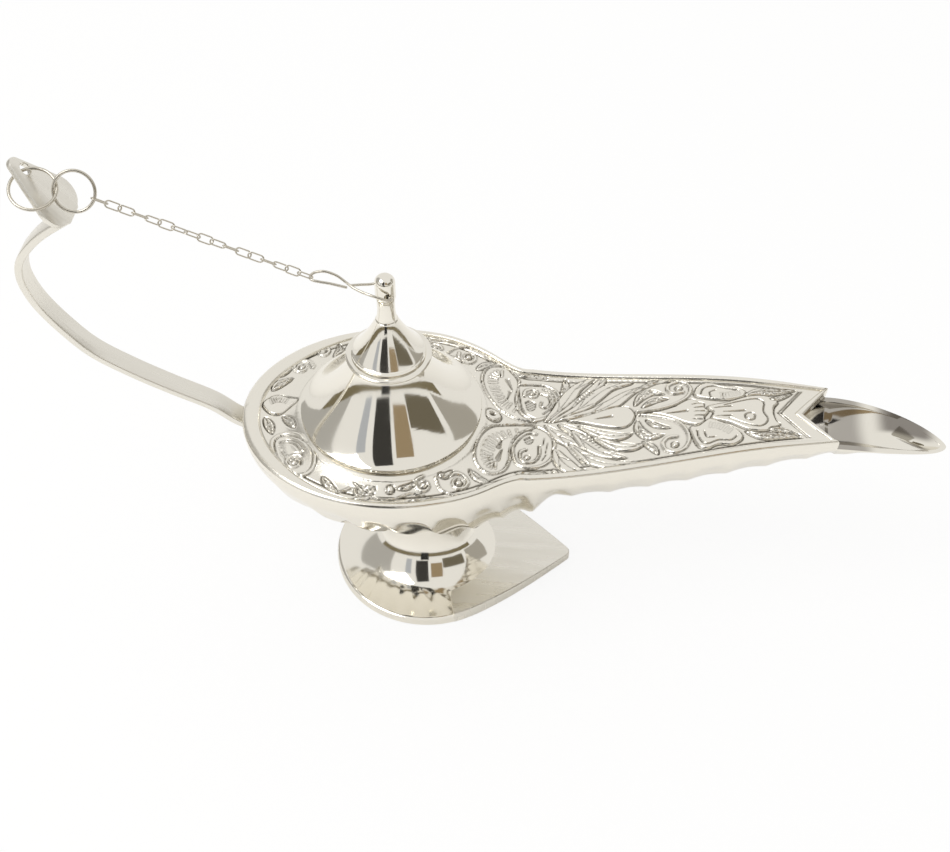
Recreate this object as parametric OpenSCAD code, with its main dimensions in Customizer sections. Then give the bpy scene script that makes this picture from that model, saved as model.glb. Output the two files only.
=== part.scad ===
// Genie oil lamp: a cast bowl with a long spout, an engraved top plate, a teardrop foot,
// a strap handle with a thumb leaf, and a lid tethered by rings, a chain and a wire hook.
// Millimetres. Z is up, +X runs from the handle to the spout, and Z = 0 is the table.

/* [Reservoir and plate] */
// Height of the top plate beside the lid, above the table
plate_z = 67; // [62:0.5:72]
// Distance from the lid's axis back to the rim
rim_back = 45; // [41:0.5:46]
// Largest half width of the rim
rim_half_w = 37.2; // [35:0.2:40]
// How far in front of the lid's axis the rim is widest
rim_mid_x = 0.5; // [0:0.5:4]
// Half width of the tongue where it leaves the round part
tongue_root_w = 23; // [21:0.5:25]
// Half width of the tongue at its notched end
tongue_end_w = 11; // [9:0.2:13]
// Distance from the lid's axis to the corners of the notch
tongue_end_x = 130.5; // [124:0.5:136]
// Depth of the V notch
notch_depth = 9; // [6:0.5:12]
// How far the plate dips in front of the lid
plate_dip = 1.7; // [0:0.1:3]
// How far the notched end stands above the plate beside the lid
plate_rise = 7.2; // [4:0.2:10]
// How far the plate swells up to the lid seat
crown_h = 2.6; // [1:0.1:4]
// Thickness of the plate
plate_t = 1.6; // [1:0.1:2.2]
// Width of the raised rim
rim_w = 2.4; // [1.6:0.1:3.2]
// Extra width of the rim at the back, behind the lid
rim_back_w = 3; // [1:0.2:4]
// Height of the raised rim over the plate
rim_h = 0.8; // [0.3:0.1:1.2]
// Depth of the rim's outer skirt below the plate
skirt_h = 3; // [2.4:0.1:4]

/* [Bowl and spout lip] */
// Height of the bowl's flat underside above the table
bowl_base_z = 29.5; // [26:0.5:33]
// Wall of the bowl
bowl_wall = 1.8; // [1.4:0.1:2.4]
// Radial step from the rim in to the bowl's edge
bowl_step = 0.5; // [0.2:0.1:1]
// Where the deep reservoir ends and the spout starts
reservoir_end_x = 47; // [44:0.5:52]
// Length of the open lip beyond the notch corners
lip_len = 36; // [30:0.5:42]
// How far the lip's tip droops below the bowl's edge
lip_droop = 8; // [4:0.5:11]
// Distance between the ridges of the fluted underside
flute_pitch = 11.5; // [9:0.5:14]
// Depth of the flutes
flute_depth = 1.3; // [0.6:0.1:1.8]

/* [Foot] */
// How far the foot's centre lies in front of the lid's axis
foot_x = 9.9; // [6:0.1:13]
// Radius of the foot's round base
foot_r = 30.8; // [28:0.2:34]
// Radius of the foot's neck under the bowl
foot_neck_r = 9; // [8:0.2:11]
// Distance from the foot's centre to its point
foot_point = 47.8; // [45:0.5:54]
// Radius of the foot's blunt point
foot_point_r = 1.6; // [1:0.1:3]
// Height of the foot's rim
foot_rim_h = 3.4; // [2.6:0.1:5]
// Wall of the foot
foot_wall = 2.2; // [1.8:0.1:3]
// Diameter of the stud that holds the foot
stud_d = 5; // [4:0.5:6]
// Clearance round the stud
stud_gap = 0.25; // [0.15:0.05:0.4]
// Across the flats of the foot nut
foot_nut_af = 8; // [7:0.5:10]
// Thickness of the foot nut
foot_nut_t = 4; // [3:0.5:5]
// Outer radius of the foot washer
foot_washer_r = 6; // [5.2:0.1:6.6]
// Thickness of the foot washer
foot_washer_t = 1; // [0.6:0.1:1.4]

/* [Lid] */
// Radius of the lid's base
lid_r = 27; // [25:0.2:28.6]
// Height from the seat to the top of the lid's flange
lid_h = 22.6; // [19:0.2:25]
// Wall of the lid
lid_wall = 1.4; // [1.1:0.1:1.8]
// Radius of the lid's neck under the flange
lid_neck_r = 11; // [10:0.1:11.6]
// Radius of the flange on top of the lid
lid_flange_r = 12.4; // [11.4:0.1:13.4]
// Depth of the locating ring under the lid
spigot_h = 2; // [1.4:0.1:2.4]
// Radius of the filler opening
opening_r = 23; // [21.5:0.1:24]
// Radial clearance of the locating ring, so that the lid can swing off
spigot_gap = 1.15; // [1:0.05:1.5]

/* [Finial] */
// Base radius of the finial's cone
cone_r = 10.3; // [9.6:0.1:11]
// Height of the finial from its seat to its tip
finial_h = 28; // [27:0.2:31]
// Radius of the finial's neck
finial_neck_r = 2.5; // [2.2:0.1:2.7]
// Radius of the finial's knob
finial_knob_r = 2.85; // [2.7:0.05:3.1]
// Height of the cross hole above the finial's seat
cross_z = 22.8; // [22:0.1:23.4]
// Radius of the cross hole
cross_r = 1; // [0.9:0.05:1.1]
// Angle of the cross hole, from straight across the lamp
cross_turn = 20; // [15:1:28]
// Diameter of the finial's stud
finial_stud_d = 4; // [3:0.5:5]
// Clearance round the finial's stud
finial_stud_gap = 0.2; // [0.1:0.05:0.3]
// Across the flats of the lid nut
lid_nut_af = 7; // [6:0.5:8]
// Thickness of the lid nut
lid_nut_t = 3; // [2.4:0.2:4]

/* [Handle] */
// Width of the handle strap
strap_w = 6.6; // [5.6:0.2:8]
// Thickness of the handle strap
strap_t = 2.2; // [1.8:0.1:2.6]
// Length of the thumb leaf
leaf_len = 21; // [19:0.5:23]
// Largest half width of the thumb leaf
leaf_half_w = 8.6; // [7:0.2:10]
// Thickness of the thumb leaf
leaf_t = 1.5; // [1.4:0.1:2.2]
// Angle of the thumb leaf from the vertical
leaf_lean = 36.9; // [34:0.5:40]
// Radius of the hole for the handle ring
leaf_hole_r = 1.6; // [1.3:0.1:1.7]
// Distance from the leaf's tip to that hole
leaf_hole_s = 4.5; // [4:0.1:5]

// How far that hole sits off the leaf's middle line
leaf_hole_y = 1; // [0:0.1:1.5]

/* [Rings, chain and hook] */
// Radius of the handle ring, to the middle of its wire
ring_r = 5.9; // [5.6:0.1:6.2]
// Radius of the chain ring, to the middle of its wire
chain_ring_r = 5.2; // [5:0.1:5.4]
// Wire diameter of both rings
ring_wire = 0.85; // [0.7:0.05:0.9]
// Number of links in the chain
link_count = 17; // [16:1:18]
// Wire diameter of the links
link_wire = 0.42; // [0.36:0.02:0.46]
// Radius of a link's round end, to the middle of its wire
link_end_r = 1.02; // [0.98:0.01:1.06]
// How far each link reaches into the next
link_overlap = 0.75; // [0.7:0.01:0.8]
// Turn from one link to the next
link_turn = 54; // [50:1:60]
// Wire diameter of the lid hook
hook_wire = 0.75; // [0.65:0.05:0.8]

/* [Hidden] */
fixed_nodes = ["bowl", "top_plate", "foot", "foot_stud", "foot_washer", "foot_nut", "handle_strap"];
tether_nodes = ["handle_ring", "chain_ring", "lid_hook"];
lid_nodes = ["lid_dome", "lid_finial", "lid_nut"];
link_nodes = [for (k = [1:link_count]) str("chain_link_", k < 10 ? "0" : "", k)];
$fn = 64;

// Gap between the lid and its seat, and between one wire and the next
seat_gap = 0.15;
wire_gap = 0.12;
// Braze line between the plate's skirt and the bowl's edge
seam_gap = 0.06;

// Vectors
function unit(v) = v / norm(v);
function flat_on(v, n) = unit(v - (v * n) * n);
function turned(v, axis, a) = v * cos(a) + cross(axis, v) * sin(a);

// Smooth steps and blends
function limit(v, low, high) = max(low, min(high, v));
function ease(v, a, b) = let (t = limit((v - a) / (b - a), 0, 1)) t * t * (3 - 2 * t);
function soft_max(a, b, k) = let (h = max(k - abs(a - b), 0) / k) max(a, b) + h * h * k / 4;

// A smooth curve through points, with `steps` stretches from each point to the next
function spline_at(p, i, t) =
    let (n = len(p) - 1, a = p[max(i - 1, 0)], b = p[i], c = p[i + 1], d = p[min(i + 2, n)])
    0.5 * (2 * b + (c - a) * t + (2 * a - 5 * b + 4 * c - d) * t * t
        + (3 * b - a - 3 * c + d) * t * t * t);
function spline(p, steps) =
    concat([for (i = [0:len(p) - 2], k = [0:steps - 1]) spline_at(p, i, k / steps)], [p[len(p) - 1]]);

// Heights
seat_z = plate_z + crown_h;
lid_z = seat_z + seat_gap;
flange_z = lid_z + lid_h;
lip_tip_x = tongue_end_x + lip_len;

// Height of the plate at a distance x in front of the lid's axis
dip_x = 42;
rise_x = 118;
function plate_top(x) = plate_z - plate_dip * ease(x, 12, dip_x)
    + (plate_rise + plate_dip) * ease(x, dip_x, rise_x);

// Half width of the rim: an oval reservoir that flows into a tapered tongue
oval_a = rim_back + rim_mid_x;
function oval_w(x) = abs(x - rim_mid_x) >= oval_a ? 0
    : rim_half_w * sqrt(1 - pow((x - rim_mid_x) / oval_a, 2));
tongue_swell = 0.8;
function tongue_w(x) = let (t = limit((x - dip_x) / (tongue_end_x - dip_x), 0, 1))
    tongue_root_w + (tongue_end_w - tongue_root_w) * t + tongue_swell * sin(180 * t);
function rim_w_at(x) = x < 24 ? oval_w(x) : soft_max(oval_w(x), tongue_w(x), 5);

// Half width and edge height of the bowl, with the open lip beyond the notch
function lip_t(x) = limit((x - tongue_end_x) / lip_len, 0, 1);
function bowl_w_at(x) = x <= tongue_end_x ? max(rim_w_at(x) - bowl_step, 0)
    : (tongue_end_w - bowl_step) * pow(1 - pow(lip_t(x), 2), 0.6);
function bowl_edge(x) = plate_top(x) - skirt_h - seam_gap - lip_droop * pow(lip_t(x), 1.6);

// Height of the keel: a deep reservoir, a step up to the spout, and a shallow lip
spout_root_z = 12;
spout_end_depth = 9;
lip_end_depth = 1.2;
keel_spout_z = plate_top(tongue_end_x) - skirt_h - spout_end_depth;
function keel_z(x) = x <= tongue_end_x
    ? bowl_base_z - 1.2 + 2.6 * ease(x, 20, reservoir_end_x - 5)
        + (spout_root_z - 1.4) * ease(x, reservoir_end_x - 5, reservoir_end_x + 4)
        + (keel_spout_z - bowl_base_z - spout_root_z)
            * pow(limit((x - reservoir_end_x) / (tongue_end_x - reservoir_end_x), 0, 1), 1.5)
    : bowl_edge(x) - lip_end_depth
        - (spout_end_depth + 1.2 - lip_end_depth) * pow(1 - lip_t(x), 2);

// Edge stations of one side, from the front to the back
round_steps = 40;
spout_steps = 44;
lip_steps = 12;
round_from = 30;
round_start = acos((round_from - rim_mid_x) / oval_a);
back_half = [for (k = [0:round_steps]) rim_mid_x + oval_a * cos(round_start + (180 - round_start) * k / round_steps)];
spout_half = [for (k = [0:spout_steps - 1]) tongue_end_x + (round_from - tongue_end_x) * k / spout_steps];
lip_half = [for (k = [0:lip_steps - 1]) lip_tip_x - lip_len * (1 - cos(90 * k / lip_steps))];

// Keel points that face those stations: the sections fan out round the reservoir
fan_back = 7;
fan_x = 45;
fan_from = fan_x - (fan_x - round_from) * 0.58;
keel_half = concat([for (x = lip_half) tongue_end_x + (x - tongue_end_x) * 0.8],
    [for (x = spout_half) x > fan_x ? x : fan_x - (fan_x - x) * 0.58],
    [for (k = [0:round_steps]) fan_from - (fan_from + fan_back) * k / round_steps]);

// A closed loop of edge points [x, y] from stations and a width, with both ends on the middle line
function loop_of(xs, ws) = let (n = len(xs)) concat(
    [for (i = [0:n - 1]) [xs[i], i == 0 || i == n - 1 ? 0 : ws[i]]],
    [for (i = [n - 2:-1:1]) [xs[i], -ws[i]]]);

// Skin between rings that all have n points, from ring a to ring b, starting at point `base`
function skin(n, a, b, base) = [for (k = [a:b - 1], i = [0:n - 1])
    [base + k * n + i, base + k * n + (i + 1) % n, base + (k + 1) * n + (i + 1) % n, base + (k + 1) * n + i]];
function flipped(faces) = [for (f = faces) [for (j = [len(f) - 1:-1:0]) f[j]]];
// Skin from a ring at `base` down to a line of keel points at `line`, which both sides share
function keel_skin(n, base, line) = [for (i = [0:n - 1])
    [base + i, base + (i + 1) % n, line + fold(n, (i + 1) % n), line + fold(n, i)]];
function fold(n, i) = i <= n / 2 ? i : n - i;

// Bowl: rings run from the edge down to the keel, scalloped into flutes outside
bowl_xs = concat(lip_half, spout_half, back_half);
bowl_ws = [for (x = bowl_xs) bowl_w_at(x)];
bowl_loop = loop_of(bowl_xs, bowl_ws);
bowl_n = len(bowl_loop);
outer_rings = 10;
inner_rings = 6;
function run_to(i) = i == 0 ? 0 : norm(bowl_loop[i] - bowl_loop[i - 1]) + run_to(i - 1);
bowl_runs = [for (i = [0:bowl_n / 2]) run_to(i)];
function run_at(i) = bowl_runs[fold(bowl_n, i)];
function flute(i, v) = flute_depth * abs(sin(180 * run_at(i) / flute_pitch))
    * ease(v, 0.08, 0.3) * ease(bowl_loop[i][0], lip_tip_x - 8, tongue_end_x - 8);
function bowl_point(i, v, wall, fluted) =
    let (edge = bowl_loop[i], keel = [keel_half[fold(bowl_n, i)], 0], out = edge - keel, reach = norm(out),
        dent = wall + (fluted ? flute(i, v) : 0),
        across = cos(90 * v) * max(reach - dent, 0.3) / reach,
        xy = keel + out * across, top = bowl_edge(edge[0]),
        depth = top - keel_z(xy[0]) - dent)
    [xy[0], v == 1 ? 0 : xy[1],
        max(top - max(depth, wall > 0 ? 0.4 : 1.6) * pow(sin(90 * v), 1.3), bowl_base_z + wall)];
function bowl_skin(rings, wall, fluted) = concat(
    [for (k = [0:rings - 1], i = [0:bowl_n - 1]) bowl_point(i, k / rings, wall, fluted)],
    [for (i = [0:bowl_n / 2]) bowl_point(i, 1, wall, fluted)]);
module bowl() {
    n = bowl_n;
    outer = bowl_skin(outer_rings, 0, true);
    inner = bowl_skin(inner_rings, bowl_wall, false);
    base = len(outer);
    edge = [for (i = [0:n - 1]) [i, base + i, base + (i + 1) % n, (i + 1) % n]];
    color("silver") polyhedron(concat(outer, inner), concat(
        skin(n, 0, outer_rings - 1, 0), keel_skin(n, (outer_rings - 1) * n, outer_rings * n), edge,
        flipped(skin(n, 0, inner_rings - 1, base)),
        flipped(keel_skin(n, base + (inner_rings - 1) * n, base + inner_rings * n))));
}

// Top plate: rings run from the filler opening out to the rim and down its skirt
plate_xs = concat([tongue_end_x - notch_depth], spout_half, back_half);
plate_ws = concat([0], [for (x = concat(spout_half, back_half)) rim_w_at(x)]);
plate_loop = loop_of(plate_xs, plate_ws);
plate_n = len(plate_loop);
field_rings = 9;
function crown(p) = crown_h * (1 - ease(norm(p) - opening_r, 1.5, 11));
function field_z(p) = plate_top(p[0]) + crown(p);
function hole_point(i) = opening_r * unit(plate_loop[i] + [0.001, 0]);
function rim_w_of(i) = rim_w + rim_back_w * ease(-plate_loop[i][0], 5, 42);
function inset(i, d) = let (p = plate_loop[i]) p - d * unit(p - [limit(p[0], -8, tongue_end_x - 24), 0]);
function field_point(i, t, drop) = let (p = hole_point(i) * (1 - t) + inset(i, rim_w_of(i)) * t)
    [p[0], p[1], field_z(p) - drop];
function rim_point(i, d, up) = let (p = inset(i, d)) [p[0], p[1], plate_top(p[0]) + up];
module top_plate() {
    n = plate_n;
    field = [for (k = [0:field_rings], i = [0:n - 1]) field_point(i, k / field_rings, 0)];
    rim = [for (s = [[0.78, rim_h], [0.35, rim_h], [0.05, rim_h * 0.2], [0, -skirt_h * 0.4], [0.12, -skirt_h]],
        i = [0:n - 1]) rim_point(i, s[0] * rim_w_of(i), s[1])];
    skirt = [for (i = [0:n - 1]) rim_point(i, rim_w_of(i) * 0.12 + plate_t, -skirt_h)];
    under = [for (k = [field_rings:-1:0], i = [0:n - 1]) field_point(i, k / field_rings, plate_t)];
    rings = len(concat(field, rim, skirt, under)) / n;
    last = (rings - 1) * n;
    closing = [for (i = [0:n - 1]) [last + i, last + (i + 1) % n, (i + 1) % n, i]];
    color("silver") polyhedron(concat(field, rim, skirt, under), concat(skin(n, 0, rings - 1, 0), closing));
}

// Foot: a turned trumpet joined to a pointed base, hollow underneath
foot_top_z = bowl_base_z;
foot_flare = foot_r - 1;
foot_cap_t = 3;
wedge_from = 22;
wedge_rise = 1.4;
function flare(r0, r1, z0, z1, steps) = [for (k = [0:steps]) let (a = 90 * k / steps)
    [r1 - (r1 - r0) * pow(cos(a), 0.85), z1 - (z1 - z0) * pow(sin(a), 0.8)]];
module trumpet(off, top) {
    sides = flare(foot_neck_r, foot_flare + 1.5, foot_rim_h, foot_top_z - 2, 24);
    below = off > 0 ? -1 : 0;
    rotate_extrude() polygon(concat([[0, below], [foot_r - off, below], [foot_flare - off, foot_rim_h]],
        [for (i = [len(sides) - 1:-1:0]) if (sides[i][0] < foot_flare && sides[i][1] < top)
            [sides[i][0] - off, sides[i][1]]],
        [[foot_neck_r - off, top], [0, top]]));
}
module teardrop(off) {
    r = foot_r - off;
    far = [foot_point - off - 0.6, foot_point_r];
    a = 70;
    start = r * [cos(a), sin(a)];
    bend = start + 13 * [sin(a), -cos(a)];
    side = [for (k = [0:12]) let (t = k / 12) (1 - t) * (1 - t) * start + 2 * t * (1 - t) * bend + t * t * far];
    polygon(concat([for (k = [1:40]) let (b = -a - (360 - 2 * a) * k / 40) r * [cos(b), sin(b)]],
        [for (k = [1:12]) side[k]], [[foot_point - off, foot_point_r * 0.4], [foot_point - off, -foot_point_r * 0.4]],
        [for (k = [12:-1:0]) [side[k][0], -side[k][1]]]));
}
module wedge(off) {
    below = off > 0 ? 1 : 0;
    translate([0, 0, -below]) linear_extrude(foot_rim_h - off / 2 + below) teardrop(off);
    intersection() {
        linear_extrude(2 * foot_rim_h - off / 2) teardrop(off);
        translate([wedge_from, 0, foot_rim_h + wedge_rise - off / 2]) rotate([0, 4, 0])
            translate([0, -foot_r, -2 * foot_rim_h]) cube([foot_r, 2 * foot_r, 2 * foot_rim_h]);
    }
}
module foot() {
    color("silver") translate([foot_x, 0, 0]) difference() {
        union() {
            trumpet(0, foot_top_z);
            wedge(0);
        }
        trumpet(foot_wall, foot_top_z - foot_cap_t);
        wedge(foot_wall);
        cylinder(h = foot_top_z + 1, d = stud_d + 2 * stud_gap);
    }
}
washer_z = foot_top_z - foot_cap_t - foot_washer_t;
nut_z = washer_z - foot_nut_t;
stud_below_nut = 1.5;
module ring_washer(outer, bore, t) {
    difference() {
        cylinder(h = t, r = outer);
        translate([0, 0, -1]) cylinder(h = t + 2, d = bore);
    }
}
module hex_nut(af, bore, t) {
    difference() {
        cylinder(h = t, d = af / cos(30), $fn = 6);
        translate([0, 0, -1]) cylinder(h = t + 2, d = bore);
    }
}
module foot_stud() {
    color("silver") translate([foot_x, 0, nut_z - stud_below_nut])
        cylinder(h = foot_top_z - nut_z + stud_below_nut, d = stud_d);
}
module foot_washer() {
    color("silver") translate([foot_x, 0, washer_z]) ring_washer(foot_washer_r, stud_d + 2 * stud_gap, foot_washer_t);
}
module foot_nut() {
    color("silver") translate([foot_x, 0, nut_z]) hex_nut(foot_nut_af, stud_d + 0.1, foot_nut_t);
}

// Lid: a spun trumpet with a flange on top and a locating ring below
flange_t = 1.2;
base_edge_t = 1.4;
step_r = cone_r + 0.5;
function lid_curve(r0, r1, z0, z1) = [for (k = [0:20]) let (a = 90 * k / 20)
    [r1 - (r1 - r0) * pow(cos(a), 1.6), z1 - (z1 - z0) * pow(sin(a), 1.6)]];
spigot_r = opening_r - spigot_gap;
module lid_dome() {
    neck_top = lid_h - flange_t - 0.6;
    skirt = [for (p = lid_curve(lid_neck_r, lid_r + 0.6, base_edge_t * 0.9, neck_top)) if (p[0] < lid_r) p];
    outside = concat([[lid_r, 0], [lid_r, base_edge_t * 0.6]], [for (i = [len(skirt) - 1:-1:0]) skirt[i]],
        [[lid_flange_r - 0.3, lid_h - flange_t], [lid_flange_r, lid_h - flange_t * 0.6],
        [lid_flange_r - 0.2, lid_h - 0.3], [step_r, lid_h]]);
    inside = concat([[0, lid_h], [0, lid_h - 3], [lid_neck_r - lid_wall, lid_h - 3]],
        [for (p = skirt) if (p[0] < spigot_r - 1 && p[1] < lid_h - 5) [p[0] - lid_wall, p[1] - 0.4]],
        [[spigot_r - lid_wall, base_edge_t * 0.4], [spigot_r - lid_wall, -spigot_h], [spigot_r, -spigot_h],
        [spigot_r, 0]]);
    color("silver") translate([0, 0, lid_z]) difference() {
        rotate_extrude($fn = 96) polygon(concat(outside, inside));
        translate([0, 0, lid_h - 4]) cylinder(h = 5, d = finial_stud_d + 2 * finial_stud_gap);
    }
}
// Finial: a turned cone, neck and knob on a stud, drilled across for the hook
lid_nut_z = flange_z - 3 - lid_nut_t;
module lid_finial() {
    cone_top = finial_h * 0.455;
    knob_round = finial_knob_r * 0.8;
    knob_z = finial_h - knob_round;
    stud_len = 3 + lid_nut_t + 1;
    flanks = [for (k = [0:10]) let (a = 90 * k / 10)
        [cone_r - (cone_r - finial_neck_r - 0.7) * pow(sin(a), 1.75), 1.4 + (cone_top - 1.4) * (1 - pow(cos(a), 1.75))]];
    cap = [for (k = [0:8]) let (a = 90 * k / 8)
        [finial_knob_r - knob_round * (1 - cos(a)), knob_z + knob_round * sin(a)]];
    profile = concat([[0, -stud_len], [finial_stud_d / 2, -stud_len], [finial_stud_d / 2, 0],
        [cone_r + 0.3, 0], [cone_r + 0.45, 0.7]], flanks,
        [[finial_neck_r + 0.35, cone_top + 0.4], [finial_neck_r, cone_top + 3.5], [finial_neck_r, cross_z - 3.2],
        [finial_knob_r, cross_z - 2]], cap, [[0, finial_h]]);
    color("silver") translate([0, 0, flange_z]) difference() {
        rotate_extrude() polygon(profile);
        translate([0, 0, cross_z]) rotate([90, 0, cross_turn])
            cylinder(h = 4 * finial_knob_r, r = cross_r, center = true, $fn = 32);
    }
}
module lid_nut() {
    color("silver") translate([0, 0, lid_nut_z]) hex_nut(lid_nut_af, finial_stud_d + 0.1, lid_nut_t);
}

// Handle: a bent strap with a thumb leaf on its end
leaf_dir = [sin(leaf_lean), 0, -cos(leaf_lean)];
strap_end = [-81.3, 137];
strap_line = spline([[-43.3, 61.2], [-47.6, 63.6], [-54, 69.1], [-65.1, 75.2], [-75.6, 81.5], [-85.6, 88.9],
    [-92.1, 97.3], [-96.9, 105.8], [-99, 112.8], [-99.1, 118], [-97.6, 122.6], [-94, 127.3], [-89.2, 131.7],
    strap_end], 5);
function side_of(p, i, d) = let (n = len(p) - 1, t = unit(p[min(i + 1, n)] - p[max(i - 1, 0)]))
    p[i] + d * [-t[1], t[0]];
strap_outline = concat([for (i = [0:len(strap_line) - 1]) side_of(strap_line, i, strap_t / 2)],
    [for (i = [len(strap_line) - 1:-1:0]) side_of(strap_line, i, -strap_t / 2)]);
leaf_tip = [strap_end[0], 0, strap_end[1]] - (leaf_len - 1) * leaf_dir;
leaf_tip_r = 2.4;
leaf_lobe_r = 5.2;
module leaf_shape() {
    lobe = [leaf_len - 5.7, leaf_half_w - leaf_lobe_r];
    between = lobe - [leaf_tip_r, 0];
    a = atan2(between[1], between[0]) + asin((leaf_lobe_r - leaf_tip_r) / norm(between)) + 90;
    half = concat([for (k = [0:6]) let (b = 180 + (a - 180) * k / 6) [leaf_tip_r, 0] + leaf_tip_r * [cos(b), sin(b)]],
        [for (k = [0:12]) let (b = a - a * k / 12) lobe + leaf_lobe_r * [cos(b), sin(b)]],
        [[leaf_len, strap_w / 2]]);
    polygon(concat(half, [for (i = [len(half) - 1:-1:1]) [half[i][0], -half[i][1]]]));
}
module handle_strap() {
    color("silver") difference() {
        union() {
            rotate([90, 0, 0]) translate([0, 0, -strap_w / 2]) linear_extrude(strap_w) polygon(strap_outline);
            translate(leaf_tip) rotate([0, 90 - leaf_lean, 0]) translate([0, 0, -leaf_t / 2])
                linear_extrude(leaf_t) leaf_shape();
            translate([strap_end[0], 0, strap_end[1]]) rotate([90, 0, 0])
                cylinder(h = strap_w, r = strap_t * 0.6, center = true);
        }
        translate(leaf_tip + leaf_hole_s * leaf_dir + [0, leaf_hole_y, 0]) rotate([0, 90 - leaf_lean, 0])
            cylinder(h = 4 * leaf_t, r = leaf_hole_r, center = true);
    }
}

// Handle ring: it hangs in the leaf's hole, round the leaf's near edge, facing up and forwards
hole_at = leaf_tip + leaf_hole_s * leaf_dir + [0, leaf_hole_y, 0];
ring_chord_dir = unit(0.55 * leaf_dir + [0, -0.835, 0]);
ring_face = flat_on([0.15, -0.46, 0.87], ring_chord_dir);
ring_side = cross(ring_face, ring_chord_dir) * (cross(ring_face, ring_chord_dir)[0] > 0 ? 1 : -1);
ring_half_chord = ring_r * 0.98;
ring_at = hole_at + ring_half_chord * ring_chord_dir + sqrt(ring_r * ring_r - pow(ring_half_chord, 2)) * ring_side;

// Chain ring: linked through the handle ring and turned to it
cross_at = [0, 0, flange_z + cross_z];
hook_eye = cross_at + [-20.2, 0, 3.75];
rings_apart = ring_r + chain_ring_r - ring_wire - wire_gap;
chain_pull = unit(hook_eye - ring_at);
ring_link_dir = flat_on([0.99, 0.11, -0.11], ring_face);
ring_turn = 34;
chain_ring_at = ring_at + rings_apart * ring_link_dir;
chain_ring_face = turned(ring_face, ring_link_dir, ring_turn);

// Chain: oval links in a straight row from the chain ring to the hook's eye
chain_grip = flat_on(unit(hook_eye - chain_ring_at), chain_ring_face);
chain_from = chain_ring_at + chain_ring_r * chain_grip;
chain_dir = unit(hook_eye - chain_from);
start_reach = (ring_wire + link_wire) / 2 + wire_gap;
end_reach = (hook_wire + link_wire) / 2 + wire_gap;
chain_len = norm(hook_eye - chain_from) + start_reach + end_reach;
link_pitch = (chain_len - link_overlap) / link_count;
link_straight = link_pitch + link_overlap - 2 * link_end_r;
link_side = flat_on(chain_ring_face, chain_dir);

// Places a shape drawn with its normal along Z and its length along X
module facing(at, along, normal) {
    x = flat_on(along, normal);
    y = cross(normal, x);
    multmatrix([[x[0], y[0], normal[0], at[0]], [x[1], y[1], normal[1], at[1]], [x[2], y[2], normal[2], at[2]],
        [0, 0, 0, 1]]) children();
}
module wire_ring(r, wire) {
    rotate_extrude($fn = 48) translate([r, 0]) circle(d = wire, $fn = 24);
}
module handle_ring() {
    color("silver") facing(ring_at, chain_pull, ring_face) wire_ring(ring_r, ring_wire);
}
module chain_ring() {
    color("silver") facing(chain_ring_at, chain_pull, chain_ring_face) wire_ring(chain_ring_r, ring_wire);
}
module link() {
    for (s = [-1, 1]) {
        translate([s * link_straight / 2, 0, 0]) rotate([0, 0, s > 0 ? -90 : 90])
            rotate_extrude(angle = 180, $fn = 32) translate([link_end_r, 0]) circle(d = link_wire, $fn = 16);
        translate([-link_straight / 2, s * link_end_r, 0]) rotate([0, 90, 0])
            cylinder(h = link_straight, d = link_wire, $fn = 16);
    }
}
module chain_link(k) {
    middle = chain_from + chain_dir * (link_pitch * (k + 0.5) + link_overlap / 2 - start_reach);
    side = turned(link_side, chain_dir, k * link_turn);
    color("silver") facing(middle, chain_dir, cross(chain_dir, side)) link();
}

// Lid hook: one wire, from its free end round the eye, through the finial and back to the crossing
hook_line = [for (p = [[-10.2, -1.7, 2], [-14.4, -1.6, 3], [-19.1, -1.4, 3.7], hook_eye - cross_at,
    [-19.2, 1.3, 4.2], [-16.4, 1.5, 4.6], [-13.2, 1.2, 3.6], [-10.8, 0.3, 2.3], [-8.6, -1, 1.5], [-6.1, -2.5, 1.3],
    [-3.4, -3.8, 1.3], [-0.7, -4.4, 0.8], [1.3, -4.3, 0.2], [1.95, -3.6, 0], [1.25, -2.6, 0], [0, 0, 0],
    [-1.25, 2.6, 0], [-2.4, 3.5, -0.4], [-4.6, 3.3, -0.8], [-7.1, 2.5, -0.4], [-9.4, 1.5, 0.1]]) cross_at + p];
module tube(path, d, sides) {
    n = len(path);
    tangents = [for (i = [0:n - 1]) unit(path[min(i + 1, n - 1)] - path[max(i - 1, 0)])];
    function frames(i) = i == 0 ? [flat_on([0, 0, 1], tangents[0])]
        : let (before = frames(i - 1)) concat(before, [flat_on(before[i - 1], tangents[i])]);
    normals = frames(n - 1);
    points = [for (i = [0:n - 1], k = [0:sides - 1]) let (a = 360 * k / sides)
        path[i] + d / 2 * (cos(a) * normals[i] + sin(a) * cross(tangents[i], normals[i]))];
    polyhedron(points, flipped(concat(skin(sides, 0, n - 1, 0), [[for (k = [sides - 1:-1:0]) k]],
        [[for (k = [0:sides - 1]) (n - 1) * sides + k]])));
}
module lid_hook() {
    color("silver") tube(spline(hook_line, 4), hook_wire, 8);
}

// The origin is on the table, under the middle of the lamp's length
mid_x = (lip_tip_x + min([for (p = strap_outline) p[0]])) / 2;
module placed() {
    translate([-mid_x, 0, 0]) children();
}

placed() bowl();
placed() top_plate();
placed() foot();
placed() foot_stud();
placed() foot_washer();
placed() foot_nut();
placed() handle_strap();
placed() lid_dome();
placed() lid_finial();
placed() lid_nut();
placed() handle_ring();
placed() chain_ring();
placed() lid_hook();
for (k = [0:link_count - 1])
    placed() chain_link(k);
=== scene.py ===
"""The looks of the genie oil lamp: polished body, chased top plate, brushed handle, chain and lid hook."""
import math

import bmesh
import bpy
import numpy as np
from mathutils import Matrix, Vector


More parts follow.
